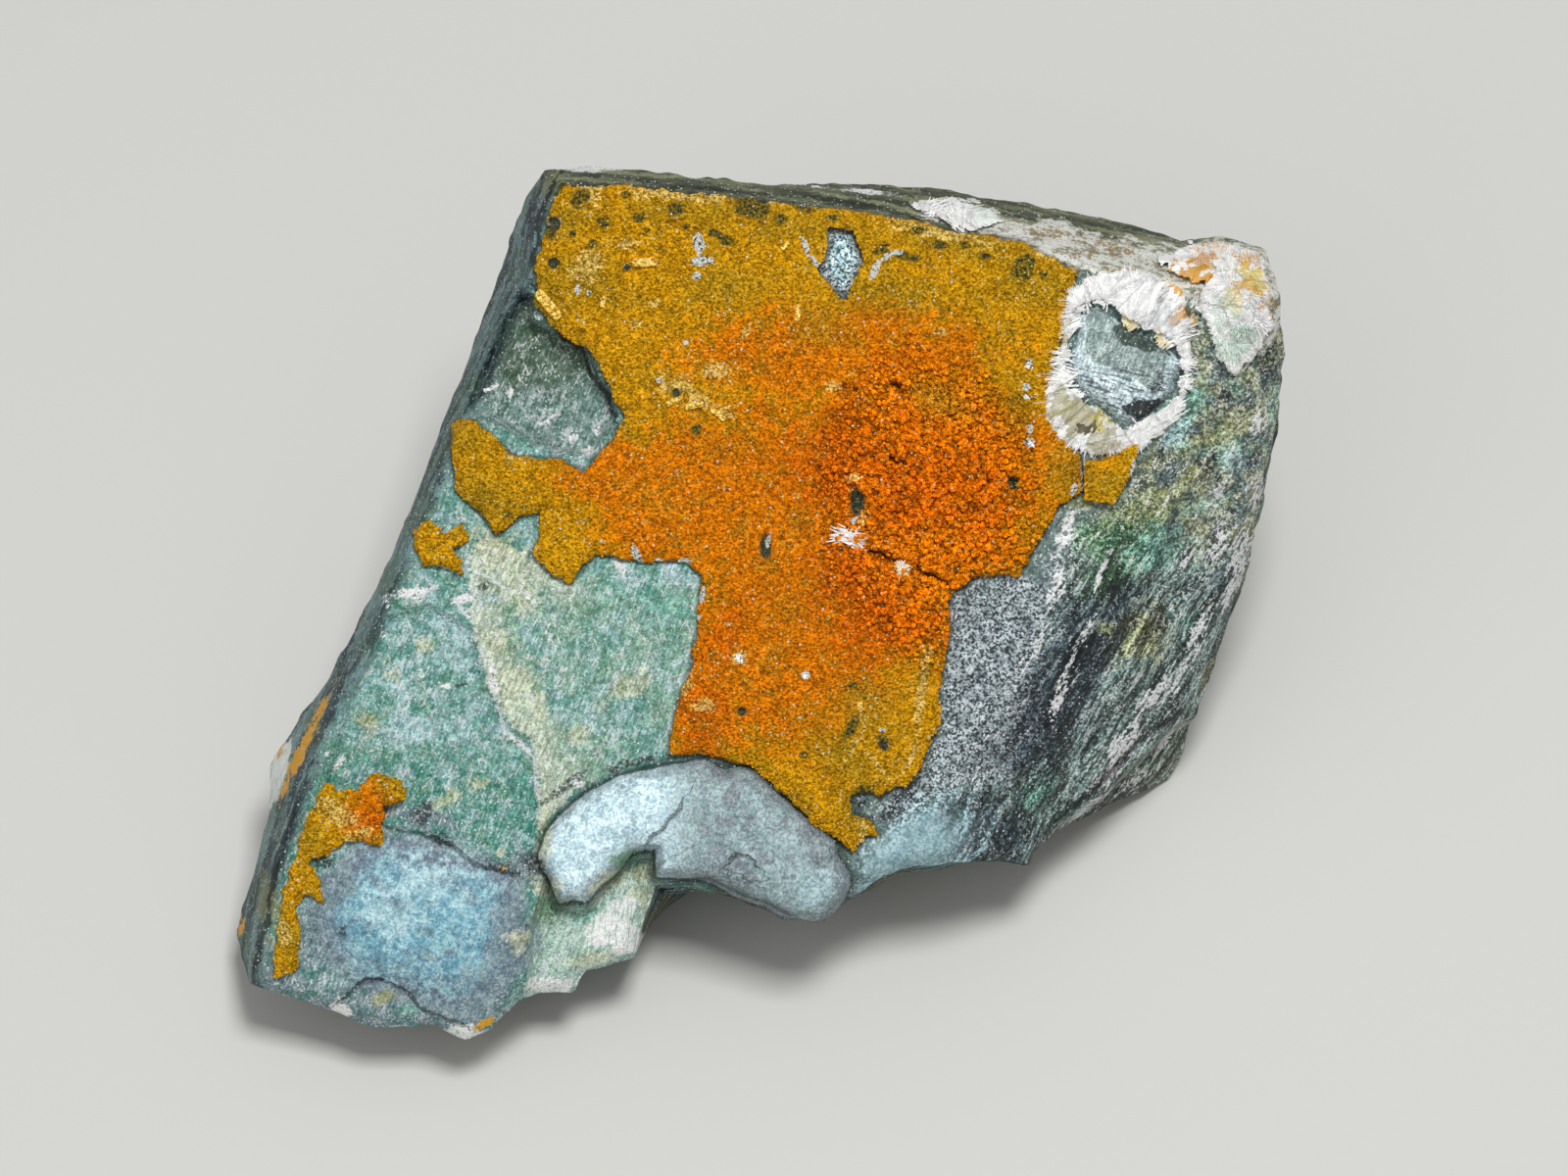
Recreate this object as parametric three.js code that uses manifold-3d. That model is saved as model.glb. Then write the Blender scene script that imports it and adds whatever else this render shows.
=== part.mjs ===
// A hand specimen of desautelsite: an orange crust on the broken face of a wedge of green serpentinite.
// White fibrous artinite grows in a ring, a corner mass and a fan along the edges of that face.
//
// Sizes are millimetres. Everything is drawn on the main face: x runs across it, y up it and z out of it.
// One group then tilts the face back, so that the rock lies on the flat break under it.

import * as THREE from 'three';
import { mergeVertices } from 'three/addons/utils/BufferGeometryUtils.js';
import Module from 'manifold-3d';

const wasm = await Module();
wasm.setup();

// How the specimen lies
const faceTilt = 30; // degrees between the main face and the level surface
const faceHeight = 22; // height of the face's middle above that surface
const shiftAcross = 0.35; // moves the specimen's middle onto the upright axis
const shiftBack = -0.74;

// Resolution of the rock
const cellsAcross = 34;
const cellsUp = 27;
const ledgeReach = 0.95; // grid points closer than this to a ledge are drawn onto it
const swellingReach = 0.6;

// Sheets of crystals on the rock
const seatGap = 0.3; // clearance between a sheet and the rock under it
const sheetClearance = 0.35; // and between two sheets side by side
const sheetCell = 2.5;
const crustThickness = 0.7;

// The break that the specimen rests on, under the tilted rock
const lyingMatrix = new THREE.Matrix4()
  .makeRotationX(THREE.MathUtils.degToRad(faceTilt))
  .setPosition(shiftAcross, shiftBack, faceHeight);
const faceMatrix = lyingMatrix.clone().invert();

// The rim of the rock as the main face shows it, one list for each side of the face
const rimLeft = [
  [-37.1, -28.4], [-38.2, -24.9], [-37.5, -22.1], [-35.8, -16.5], [-36, -13], [-34.3, -10.2], [-31.5, -6.7],
  [-28.4, -0.7], [-25.3, 6.3], [-22.4, 14], [-19.8, 21], [-17.5, 27.7], [-15.8, 30],
];
const rimBottom = [
  [-37.1, -28.4], [-33.6, -29.4], [-30.8, -30.3], [-28, -31.3], [-23.8, -31.3], [-21.4, -32.4], [-19.6, -31.6],
  [-17.2, -29.3], [-13.7, -28.9], [-13.1, -27.5], [-9.3, -26.5], [-8.6, -23.5], [-7.9, -21.2], [-5.6, -21.2],
  [-1.4, -22.4], [1.4, -23.8], [4.1, -24], [5.8, -22.4], [8.4, -20.8], [10.9, -19.9], [15.4, -19.5],
  [18.9, -19.7], [20.7, -17.9], [24.5, -16.3], [29.1, -13.7],
];
const rimRight = [
  [29.1, -13.7], [30.3, -11.9], [30.7, -9.8], [32.2, -6.3], [33.8, -2.8], [35.2, 2.1], [36.1, 7],
  [37.1, 12.6], [37.3, 16.8], [36.8, 21], [36.4, 24.5],
];
const rimTop = [
  [-15.8, 30], [-12.6, 30.4], [-9.1, 30], [-5.6, 29.6], [0.7, 28.9], [4.9, 29.2], [10.5, 29],
  [13.3, 29], [16.1, 28.2], [21, 27.5], [25.9, 26.5], [30.1, 25.2], [32.6, 25.5], [34.7, 25], [36.4, 24.5],
];
const rim = [...rimTop, ...rimRight.slice(1, -1).reverse(), ...rimBottom.slice().reverse(), ...rimLeft.slice(1, -1)];

// The flat break under the rock, seen from above as it lies
const footLeft = [[-27, -13], [-22, 3], [-16, 13], [-10, 21.5]];
const footBottom = [[-27, -13], [-17, -17], [-4, -12.5], [8, -11.5], [21, -1.5]];
const footRight = [[21, -1.5], [27, 8], [29, 18]];
const footTop = [[-10, 21.5], [8, 23], [29, 18]];
const footDepth = 1; // how far the rock is drawn below the surface before the break is cut

// Where the main face turns away: each region starts at a crest and runs far past the rim
const farAway = 70;
const leftWall = [
  [-15, farAway], [-15, 29], [-16.1, 25.6], [-16.6, 22.4], [-18.2, 18.9], [-20.3, 14], [-22.4, 9.8],
  [-25.6, 2.1], [-28.6, -4.6], [-32.1, -11.9], [-34.7, -19.6], [-36.3, -27], [-36.3, -farAway],
  [-farAway, -farAway], [-farAway, farAway],
];
const topWall = [
  [-15.5, farAway], [-15.5, 28.9], [-5.6, 28.4], [1.4, 27.5], [8.4, 26.5], [15.4, 25], [22.4, 23.3],
  [29.4, 21.6], [36.4, 21], [farAway, 21], [farAway, farAway],
];
const rightSlope = [
  [30.5, 21], [30.3, 14], [28, 10.2], [24.9, 6], [22.4, 3.9], [21, 0], [17.5, -5.6], [14.4, -11.2],
  [12.6, -15.4], [11.9, -farAway], [farAway, -farAway], [farAway, 21],
];
const wallSteepness = 2.2;
const topSteepness = 1.5;
const slopeStart = 0.34; // fall of the right slope at its crest
const slopeGrowth = 0.034; // and how much it steepens with each millimetre past it

// Broken ledges, where layers of the face are missing
const hollow = [
  [-16.3, 21], [-16.5, 19.3], [-12.6, 17.4], [-11.8, 15.1], [-10.7, 14], [-10.4, 12.3], [-11.4, 10.9],
  [-12.3, 9.3], [-15.1, 9.7], [-16.8, 10.5], [-20, 12.1], [-21.7, 12.3], [-21, 14.7], [-19.6, 17.9], [-17.6, 21.3],
];
const lowPanel = [
  [-21, -2.8], [-19.8, -7], [-18.5, -9.5], [-16.5, -11], [-16.1, -14], [-16.1, -18.3], [-17.5, -20],
  [-20.3, -18.9], [-23.8, -17.5], [-26.6, -17.2], [-31.5, -14], [-30, -8.5], [-27, -2], [-24, -1],
];
const underRoll = [
  [-15.4, -19.5], [-14.8, -22.5], [-12.7, -22.8], [-11.8, -21.4], [-10.5, -20], [-9.1, -19], [-7.7, -19],
  [-7.4, -22], [-8, -farAway], [-17.5, -farAway], [-17, -25],
];
const lowerEdge = [
  [20.5, -17.6], [24.5, -15], [27.3, -12.3], [30.6, -9.5], [farAway, -9.5], [farAway, -farAway], [20.5, -farAway],
];
const chip = [
  [22.2, 19.5], [23.8, 20.2], [25.9, 18.6], [28.7, 17.2], [29.8, 16.1], [29.1, 14], [27, 11.9],
  [25.6, 11.8], [23.8, 13.3], [22.3, 14.4], [21.7, 16.1], [22.4, 17.9],
];

// Smooth swellings that stand proud of the face
const rimRoll = [
  [-16.1, -18.9], [-15.7, -17.5], [-14.4, -16], [-11.9, -14.2], [-9.1, -13], [-4.2, -12.3], [-0.7, -13.3],
  [0.7, -14.8], [4.9, -18.1], [6, -20], [5.9, -22.1], [4.9, -23.5], [3.5, -24], [1.4, -23.5], [-4.2, -21],
  [-7.8, -20.7], [-7.8, -18.9], [-9.1, -18.8], [-10.5, -20], [-11.8, -21.4], [-12.7, -22.5], [-14.8, -22.5],
];
const knob = [
  [-27, -17.2], [-24.5, -17.5], [-21.7, -18.3], [-19.6, -19], [-17.5, -20.3], [-16.8, -23.1], [-16.5, -25.2],
  [-17.5, -28], [-20.3, -31.2], [-23.1, -30.5], [-26.6, -29.5], [-29.5, -28.7], [-31.5, -27], [-32.9, -24.5],
  [-32.9, -22], [-31.5, -20.3], [-29.4, -18.2],
];

// rise: height gained inside the outline; run: how far in from the outline it takes
const ledges = [
  { outline: hollow, rise: -2, run: 0.5 },
  { outline: lowPanel, rise: -0.6, run: 0.4 },
  { outline: underRoll, rise: -1.6, run: 0.5 },
  { outline: lowerEdge, rise: -3, run: 0.6 },
  { outline: chip, rise: 0.9, run: 0.4 },
];
const swellings = [
  { outline: rimRoll, rise: 2.3, run: 3.2 },
  { outline: knob, rise: 1.5, run: 4.5 },
];

// Outlines of the crystal sheets
const mainCrust = [
  [-14.5, 28.8], [-9.8, 28.7], [-1.4, 27.7], [4.9, 27.1], [10.2, 26.5], [13.7, 25.4], [18.2, 24.9],
  [21.8, 22.6], [21.3, 20.4], [20.8, 18.8], [19.7, 16.8], [19.4, 14.4], [19.3, 12.3], [20.7, 10.2],
  [22.3, 9], [22.3, 6.9], [21, 5.7], [19.7, 3.6], [18.2, 1], [15.3, 0.9], [13.5, -0.3], [13.1, -1.5],
  [13.3, -3.2], [12.5, -7], [12.3, -10.2], [11.1, -13], [10.2, -14.4], [9.4, -14], [8.3, -15.1], [7.4, -14.5],
  [6.2, -14.8], [6.4, -16], [7.6, -16.5], [8.1, -17.7], [7.1, -17.7], [6.4, -19], [5.6, -18.4], [3.4, -16.7],
  [1.8, -15.2], [0.5, -14], [-1, -12.8], [-2.9, -12.2], [-4.5, -11.8], [-6.9, -12.1], [-6.4, -8.8],
  [-5.3, -5.7], [-4.8, -2.8], [-4.5, 0.8], [-5.7, 2], [-9.5, 2], [-12, 2.4], [-13.9, 0.3], [-15.1, 0.8],
  [-16.8, 2.4], [-15.9, 3.8], [-16.2, 5.2], [-17.4, 5.2], [-19.1, 3.6], [-20.3, 5.3], [-22.1, 7],
  [-22, 10], [-20.8, 11.6], [-18.9, 10.1], [-17.9, 9.2], [-14.6, 9], [-13, 8.3], [-11.2, 10],
  [-9.8, 12.3], [-10.5, 13.8], [-11.6, 16.1], [-12.5, 17.6], [-14.2, 18.3], [-16.1, 20.1], [-15.7, 21.5],
  [-15.9, 22.8], [-15.3, 24.2], [-15.1, 26.3],
];
const crustWindow = [
  [4.6, 25.8], [6.2, 25.5], [7.1, 23.7], [6.4, 21.7], [5.7, 20.6], [4.8, 21.3], [3.9, 22.8], [4.4, 23.9],
];
const leftPatch = [
  [-25.2, 4.2], [-23.8, 4.9], [-22.8, 4.1], [-21.6, 4.7], [-21.3, 3.4], [-22, 2.6], [-21.4, 0.7],
  [-22.8, 1.5], [-24.5, 1.6], [-25, 3],
];
const lowPatch = [
  [-31.4, -13.8], [-30.4, -14.6], [-29, -14.4], [-27.9, -13.2], [-25.8, -13.7], [-25.6, -14.9],
  [-27.1, -15.8], [-27.4, -18.4], [-28.7, -18], [-30.1, -18.3], [-31.4, -19], [-32.3, -19.6], [-31.6, -21],
  [-31.5, -22.4], [-32.8, -21.9], [-33.4, -22.8], [-33, -24.5], [-33.3, -26.3], [-33.6, -27.6], [-35, -27.6],
  [-35.2, -26.5], [-34.6, -23], [-33.9, -20], [-32.9, -17], [-32, -15.5],
];
const flake = [[23.1, 8.9], [24, 9.2], [26.6, 10.3], [26.4, 8.4], [24.9, 6], [23.1, 6.4]];
const ringOutside = [
  [21.1, 20.3], [23.1, 21.7], [26.6, 22.1], [30.1, 21], [30.5, 17.9], [30.3, 14.7], [29.8, 12.3],
  [28, 10.6], [26.6, 9.7], [23.5, 9.4], [21, 10.4], [19.8, 12.3], [19.9, 14.4], [21, 16.1], [21.2, 18.9],
];
const ringInside = [
  [21.9, 19.8], [24, 20.7], [26.1, 19], [28.9, 17.6], [30, 16.4], [29.6, 13.8], [27.2, 11.4], [25.4, 11.4],
  [23.5, 12.9], [21.9, 14.1], [21.2, 16.1], [21.9, 18],
];
const cornerMass = [
  [28, 23.7], [30.5, 24.8], [32.9, 25.1], [35.5, 24.3], [36.2, 23.2], [36.1, 21], [36.4, 18.9],
  [35.4, 16.5], [33.7, 15.1], [32.6, 16.1], [31.9, 18.2], [31.1, 20], [31.1, 21.7], [29.3, 22.4],
];
const topFan = [[10.5, 27.5], [11.6, 28], [14.3, 27.9], [16.3, 27.2], [17.1, 26.4], [14.7, 25.6], [13.7, 25.9], [12.2, 26.9]];

// Value noise that is the same on every run: about -1 to 1, with lumps of the given size
function lumps(x, y, z, size) {
  const [px, py, pz] = [x / size, y / size, z / size];
  const [ix, iy, iz] = [Math.floor(px), Math.floor(py), Math.floor(pz)];
  const ease = (t) => t * t * (3 - 2 * t);
  const [fx, fy, fz] = [ease(px - ix), ease(py - iy), ease(pz - iz)];
  const corner = (i, j, k) => {
    const n = Math.sin((ix + i) * 127.1 + (iy + j) * 311.7 + (iz + k) * 74.7) * 43758.5453;
    return 2 * (n - Math.floor(n)) - 1;
  };
  const { lerp } = THREE.MathUtils;
  const row = (j, k) => lerp(corner(0, j, k), corner(1, j, k), fx);
  const sheet = (k) => lerp(row(0, k), row(1, k), fy);
  return lerp(sheet(0), sheet(1), fz);
}

// How far a point lies inside a closed outline, and less than nothing outside it
function depthInside(outline, x, y) {
  let nearest = Infinity;
  let inside = false;
  outline.forEach(([ax, ay], i) => {
    const [bx, by] = outline[(i + 1) % outline.length];
    const [dx, dy] = [bx - ax, by - ay];
    const along = THREE.MathUtils.clamp(((x - ax) * dx + (y - ay) * dy) / (dx * dx + dy * dy), 0, 1);
    nearest = Math.min(nearest, Math.hypot(x - ax - along * dx, y - ay - along * dy));
    if (ay > y !== by > y && x < (dx * (y - ay)) / dy + ax) inside = !inside;
  });
  return inside ? nearest : -nearest;
}

// Height of the bare face: its sway, the walls that fall away from it and its rounded rim
function faceHeightAt(x, y) {
  const sway = 0.5 * Math.sin(x / 9 + 0.6) * Math.cos(y / 11) - 0.25 * Math.sin((x + y) / 5);
  const left = Math.max(0, depthInside(leftWall, x, y)) * wallSteepness;
  const top = Math.max(0, depthInside(topWall, x, y)) * topSteepness;
  const past = Math.max(0, depthInside(rightSlope, x, y));
  const right = past * (slopeStart + slopeGrowth * past);
  const rimDepth = Math.max(0, depthInside(rim, x, y));
  const rounding = 1.1 * Math.pow(Math.max(0, 1 - rimDepth / 1.4), 2);
  return sway - Math.min(left + top, 9) - right - rounding;
}

// Height of the rock with its ledges and swellings
function rockHeightAt(x, y) {
  const broken = ledges.reduce((sum, { outline, rise, run }) => {
    return sum + rise * THREE.MathUtils.smoothstep(depthInside(outline, x, y), 0, run);
  }, 0);
  const swollen = swellings.reduce((sum, { outline, rise, run }) => {
    const inwards = THREE.MathUtils.clamp(depthInside(outline, x, y) / run, 0, 1);
    return sum + rise * Math.sqrt(1 - (1 - inwards) ** 2);
  }, 0);
  return faceHeightAt(x, y) + broken + swollen;
}

// Draws a grid point onto the edge it is nearest to, so that the edges stay crisp on a coarse grid
function snapToEdges(x, y) {
  const step = 0.05;
  const edges = [
    ...ledges.map(({ outline, run }) => ({ outline, inner: run, reach: ledgeReach })),
    ...swellings.map(({ outline }) => ({ outline, inner: 0, reach: swellingReach })),
  ];
  for (const { outline, inner, reach } of edges) {
    const depth = depthInside(outline, x, y);
    if (Math.abs(depth) > reach) continue;
    const slopeX = (depthInside(outline, x + step, y) - depth) / step;
    const slopeY = (depthInside(outline, x, y + step) - depth) / step;
    const move = (depth > 0 ? inner : 0) - depth;
    return [x + slopeX * move, y + slopeY * move];
  }
  return [x, y];
}

// A broken line as a curve, so that it can be read at any share of its length
function traced(points) {
  const path = new THREE.CurvePath();
  points.slice(1).forEach((end, i) => {
    path.add(new THREE.LineCurve(new THREE.Vector2(...points[i]), new THREE.Vector2(...end)));
  });
  return path;
}

// A four-sided patch filled between its sides: a and b run from 0 to 1 across and up it
function patchBetween(left, bottom, right, top) {
  const sides = { left: traced(left), bottom: traced(bottom), right: traced(right), top: traced(top) };
  const corner = (side, t) => side.getPoint(t);
  return (a, b) => {
    const across = sides.bottom.getPoint(a).multiplyScalar(1 - b).addScaledVector(sides.top.getPoint(a), b);
    const up = sides.left.getPoint(b).multiplyScalar(1 - a).addScaledVector(sides.right.getPoint(b), a);
    const flat = corner(sides.bottom, 0).multiplyScalar((1 - a) * (1 - b))
      .addScaledVector(corner(sides.bottom, 1), a * (1 - b))
      .addScaledVector(corner(sides.top, 0), (1 - a) * b)
      .addScaledVector(corner(sides.top, 1), a * b);
    return across.add(up).sub(flat);
  };
}

// The walls go down from the rim in broken layers: share of the way down, and how far the layer stands out
const wallLayers = [
  [0, 0], [0.1, 0.5], [0.13, 1.6], [0.3, 2], [0.34, 0.8], [0.55, 1.4], [0.59, 2.8], [0.79, 2.2], [0.83, 0.9], [1, 0],
];
const wallRoughness = 0.9;
const wallLumpSize = 7;
const faceRoughness = 0.16;
const faceLumpSize = 2.6;

const facePatch = patchBetween(rimLeft, rimBottom, rimRight, rimTop);
const footPatch = patchBetween(footLeft, footBottom, footRight, footTop);

// A point of the rock from its place on a unit box, whose top is the main face and whose bottom is the foot
function rockPoint(a, b, level) {
  const onRim = a === 0 || a === 1 || b === 0 || b === 1;
  const flat = facePatch(a, b);
  const [x, y] = onRim ? [flat.x, flat.y] : snapToEdges(flat.x, flat.y);
  const roughness = onRim ? 0 : faceRoughness * lumps(x, y, 3, faceLumpSize);
  const front = new THREE.Vector3(x, y, rockHeightAt(x, y) + roughness);
  if (level === wallLayers.length - 1) return front;
  const footPoint = footPatch(a, b);
  const foot = new THREE.Vector3(footPoint.x, footPoint.y, -footDepth);
  const [share, stands] = wallLayers[wallLayers.length - 1 - level];
  const lying = front.applyMatrix4(lyingMatrix).lerp(foot, share);
  const outwards = new THREE.Vector3(lying.x, lying.y - 2, 0).normalize();
  const shown = THREE.MathUtils.lerp(0.2, 1, THREE.MathUtils.smoothstep(outwards.y, -0.8, 0.4));
  const rough = wallRoughness * lumps(lying.x, lying.y, lying.z, wallLumpSize) * Math.sin(Math.PI * share);
  const ledgeFade = 0.7 + 0.3 * lumps(lying.x, lying.y, 0, 12);
  return lying.addScaledVector(outwards, stands * shown * ledgeFade + rough).applyMatrix4(faceMatrix);
}

function shapeOfRock() {
  const layers = wallLayers.length - 1;
  const geometry = new THREE.BoxGeometry(1, 1, 1, cellsAcross, cellsUp, layers);
  const place = geometry.getAttribute('position');
  for (let i = 0; i < place.count; i++) {
    const share = (value, cells) => Math.round((value + 0.5) * cells) / cells;
    const level = Math.round((place.getZ(i) + 0.5) * layers);
    const point = rockPoint(share(place.getX(i), cellsAcross), share(place.getY(i), cellsUp), level);
    place.setXYZ(i, point.x, point.y, point.z);
  }
  return geometry;
}

function asSolid(geometry) {
  const bare = geometry.clone();
  Object.keys(bare.attributes).filter((name) => name !== 'position').forEach((name) => bare.deleteAttribute(name));
  const merged = mergeVertices(bare, 1e-4);
  return new wasm.Manifold(new wasm.Mesh({
    numProp: 3,
    vertProperties: merged.getAttribute('position').array,
    triVerts: new Uint32Array(merged.index.array),
  }));
}

function asGeometry(solid) {
  const mesh = solid.getMesh();
  const geometry = new THREE.BufferGeometry()
    .setAttribute('position', new THREE.BufferAttribute(mesh.vertProperties, 3))
    .setIndex(new THREE.BufferAttribute(mesh.triVerts, 1));
  geometry.computeVertexNormals();
  return geometry;
}

// The rock stops at the level surface, in one flat break
function cutFoot(rock) {
  const slab = 30;
  const below = new THREE.BoxGeometry(160, 160, slab).translate(0, 0, -slab / 2).applyMatrix4(faceMatrix);
  return rock.subtract(asSolid(below));
}

// The space over an outline on the main face, from well below the face to well above it
function columnOver(outline) {
  const shape = new THREE.Shape(outline.map((point) => new THREE.Vector2(...point)));
  const height = 60;
  return asSolid(new THREE.ExtrudeGeometry(shape, { depth: height, bevelEnabled: false }).translate(0, 0, -height / 2));
}

// The same outline a little larger all round
function grown(outline, by) {
  const turnsLeft = THREE.ShapeUtils.area(outline.map(([x, y]) => ({ x, y }))) > 0 ? 1 : -1;
  return outline.map(([x, y], i) => {
    const before = outline.at(i - 1);
    const after = outline[(i + 1) % outline.length];
    const along = new THREE.Vector2(after[0] - before[0], after[1] - before[1]).normalize();
    return [x + along.y * by * turnsLeft, y - along.x * by * turnsLeft];
  });
}

// A sheet of crystals over an outline, lying a small gap above the rock; thicknessAt gives its surface
function sheetOn(rock, outline, thicknessAt, cell = sheetCell) {
  const box = new THREE.Box2().setFromPoints(outline.map((point) => new THREE.Vector2(...point)));
  const size = box.getSize(new THREE.Vector2()).addScalar(2 * cell);
  const middle = box.getCenter(new THREE.Vector2());
  const [across, up] = [Math.ceil(size.x / cell), Math.ceil(size.y / cell)];
  const slab = new THREE.BoxGeometry(size.x, size.y, 2, across, up, 1).translate(middle.x, middle.y, 0);
  const place = slab.getAttribute('position');
  const under = 2.5;
  for (let i = 0; i < place.count; i++) {
    const [x, y] = [place.getX(i), place.getY(i)];
    const rise = place.getZ(i) > 0 ? seatGap + thicknessAt(x, y) : -under;
    place.setZ(i, faceHeightAt(x, y) + rise);
  }
  const seat = asSolid(asGeometry(rock).translate(0, 0, seatGap));
  return asSolid(slab).intersect(columnOver(outline)).subtract(seat);
}

// A boolean can shave off crumbs; only the sheet itself is kept
function largestPiece(solid) {
  return solid.decompose().reduce((best, piece) => (piece.volume() > best.volume() ? piece : best));
}

// Slender flat-faced needles that lean outwards over a sheet from a middle, to fuse to it
function needlesAround(middle, count, reachAt, length, width) {
  return Array.from({ length: count }, (_, i) => {
    const turn = (2 * Math.PI * (i + 0.35 * lumps(i, 1, 1, 1.7))) / count;
    const long = length * (1 + 0.25 * lumps(i, 5, 2, 1.3));
    const needle = new THREE.ConeGeometry(width, long, 4).translate(0, long / 2, 0);
    needle.rotateX(THREE.MathUtils.degToRad(14)).rotateZ(turn - Math.PI / 2);
    const [x, y] = [middle[0] + Math.cos(turn) * reachAt(turn), middle[1] + Math.sin(turn) * reachAt(turn)];
    return asSolid(needle.translate(x, y, faceHeightAt(x, y) + seatGap + 0.55));
  });
}

// Blunt five-sided crystals that stand in a heap, to fuse to the crust
function grainsIn(middle, spread, count, width) {
  return Array.from({ length: count }, (_, i) => {
    const turn = i * 2.4;
    const out = Math.sqrt((i + 0.5) / count);
    const x = middle[0] + spread[0] * out * Math.cos(turn) + 0.6 * lumps(i, 2, 3, 1.1);
    const y = middle[1] + spread[1] * out * Math.sin(turn) + 0.6 * lumps(i, 7, 1, 1.1);
    const size = width * (1 + 0.35 * lumps(i, 4, 8, 1.3));
    const grain = new THREE.ConeGeometry(size, size * 0.9, 5).rotateX(Math.PI / 2).rotateZ(i);
    grain.rotateX(0.5 * lumps(i, 1, 5, 1.2)).rotateY(0.5 * lumps(i, 3, 5, 1.2));
    return asSolid(grain.translate(x, y, faceHeightAt(x, y) + seatGap + crustThicknessAt(x, y) + 0.2 * size));
  });
}

// Short square rods that lie on the crust: middle and angle of each
const rodLength = 1.8;
const rodWidth = 0.5;
const rods = [[-15.4, 20.3, -55], [-8.4, 23.2, 5], [-5.6, 13.2, -20], [-5.2, 12, 15], [1, 20.5, 80], [-8.9, 19.5, -70]];
function rodsOnCrust() {
  return rods.map(([x, y, angle]) => {
    const rod = new THREE.BoxGeometry(rodLength, rodWidth, rodWidth).rotateZ(THREE.MathUtils.degToRad(angle));
    return asSolid(rod.translate(x, y, faceHeightAt(x, y) + seatGap + crustThicknessAt(x, y) + 0.1));
  });
}

// Small open pits through the crust: middle, half width, half height
const pits = [[6.7, 6, 0.5, 1.1], [0.3, 3.2, 0.4, 1], [17.6, 7.5, 0.5, 0.4], [3.2, -6.2, 0.5, 0.5]];
function pitsInCrust() {
  return pits.map(([x, y, halfWidth, halfHeight]) => {
    const pit = new THREE.CylinderGeometry(1, 1, 30, 7).rotateX(Math.PI / 2).scale(halfWidth, halfHeight, 1);
    return asSolid(pit.translate(x, y, 0));
  });
}

const finishes = {
  serpentinite: new THREE.MeshStandardMaterial({ color: 0x5f7a6e, roughness: 0.6, metalness: 0 }),
  desautelsite: new THREE.MeshStandardMaterial({ color: 0xd97a08, roughness: 0.75, metalness: 0 }),
  artinite: new THREE.MeshStandardMaterial({ color: 0xe9ecea, roughness: 0.5, metalness: 0 }),
};

const rock = cutFoot(asSolid(shapeOfRock()));

// The crust is thickest and most lumpy low on its right, where its crystals stand in small heaps
const heapsMiddle = [12, 6];
const heapsSpread = 13;
function crustThicknessAt(x, y) {
  const heaps = Math.exp(-(((x - heapsMiddle[0]) ** 2 + (y - heapsMiddle[1]) ** 2) / heapsSpread ** 2));
  return crustThickness + heaps * (0.25 + 0.4 * lumps(x, y, 9, 1.6)) + 0.08 * lumps(x, y, 4, 3);
}
const patchThicknessAt = (x, y) => crustThickness * 0.85 + 0.1 * lumps(x, y, 2, 2);
const flakeThicknessAt = (x, y) => 0.9 + 0.55 * Math.max(0, depthInside(rightSlope, x, y));

const ringMiddle = [25.6, 15.6];
function ringThicknessAt(x, y) {
  const turn = Math.atan2(y - ringMiddle[1], x - ringMiddle[0]);
  return 1 + 0.3 * Math.sin(22 * turn) + 0.2 * lumps(x, y, 6, 1.5);
}
const massThicknessAt = (x, y) => 1.1 + 0.5 * lumps(x, y, 7, 2);
const fanThicknessAt = (x, y) => 0.8 + 0.3 * Math.sin(3 * x - 2 * y);

const specimen = new THREE.Group();
specimen.name = 'desautelsite_specimen';
specimen.applyMatrix4(lyingMatrix);

function addPiece(name, solid, finish) {
  const mesh = new THREE.Mesh(asGeometry(largestPiece(solid)), finish);
  mesh.name = name;
  specimen.add(mesh);
}

const ringReach = (turn) => 2.9 + 0.5 * Math.cos(2 * turn);
const clearOfRock = asSolid(asGeometry(rock).translate(0, 0, seatGap));
const ring = needlesAround(ringMiddle, 22, ringReach, 2.6, 0.5)
  .reduce((joined, needle) => joined.add(needle), sheetOn(rock, ringOutside, ringThicknessAt, 1.8))
  .intersect(columnOver(ringOutside))
  .subtract(columnOver(ringInside))
  .subtract(clearOfRock);
const ringRoom = columnOver(grown(ringOutside, sheetClearance));
const grownOnCrust = [...grainsIn(heapsMiddle, [6.5, 9.5], 26, 1.05), ...rodsOnCrust()];
const openings = [columnOver(crustWindow), ringRoom, clearOfRock, ...pitsInCrust()];
const wholeCrust = grownOnCrust
  .reduce((joined, grain) => joined.add(grain), sheetOn(rock, mainCrust, crustThicknessAt))
  .intersect(columnOver(mainCrust));
const crust = openings.reduce((left, opening) => left.subtract(opening), wholeCrust);

addPiece('serpentinite_matrix', rock, finishes.serpentinite);
addPiece('desautelsite_crust', crust, finishes.desautelsite);
addPiece('desautelsite_patch_left', sheetOn(rock, leftPatch, patchThicknessAt, 1.5), finishes.desautelsite);
addPiece('desautelsite_patch_low', sheetOn(rock, lowPatch, patchThicknessAt, 1.5), finishes.desautelsite);
addPiece('desautelsite_flake', sheetOn(rock, flake, flakeThicknessAt, 1.2).subtract(ringRoom), finishes.desautelsite);
addPiece('artinite_ring', ring, finishes.artinite);
addPiece('artinite_corner_mass', sheetOn(rock, cornerMass, massThicknessAt, 1.5), finishes.artinite);
addPiece('artinite_top_fan', sheetOn(rock, topFan, fanThicknessAt, 1), finishes.artinite);

export default specimen;
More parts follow.
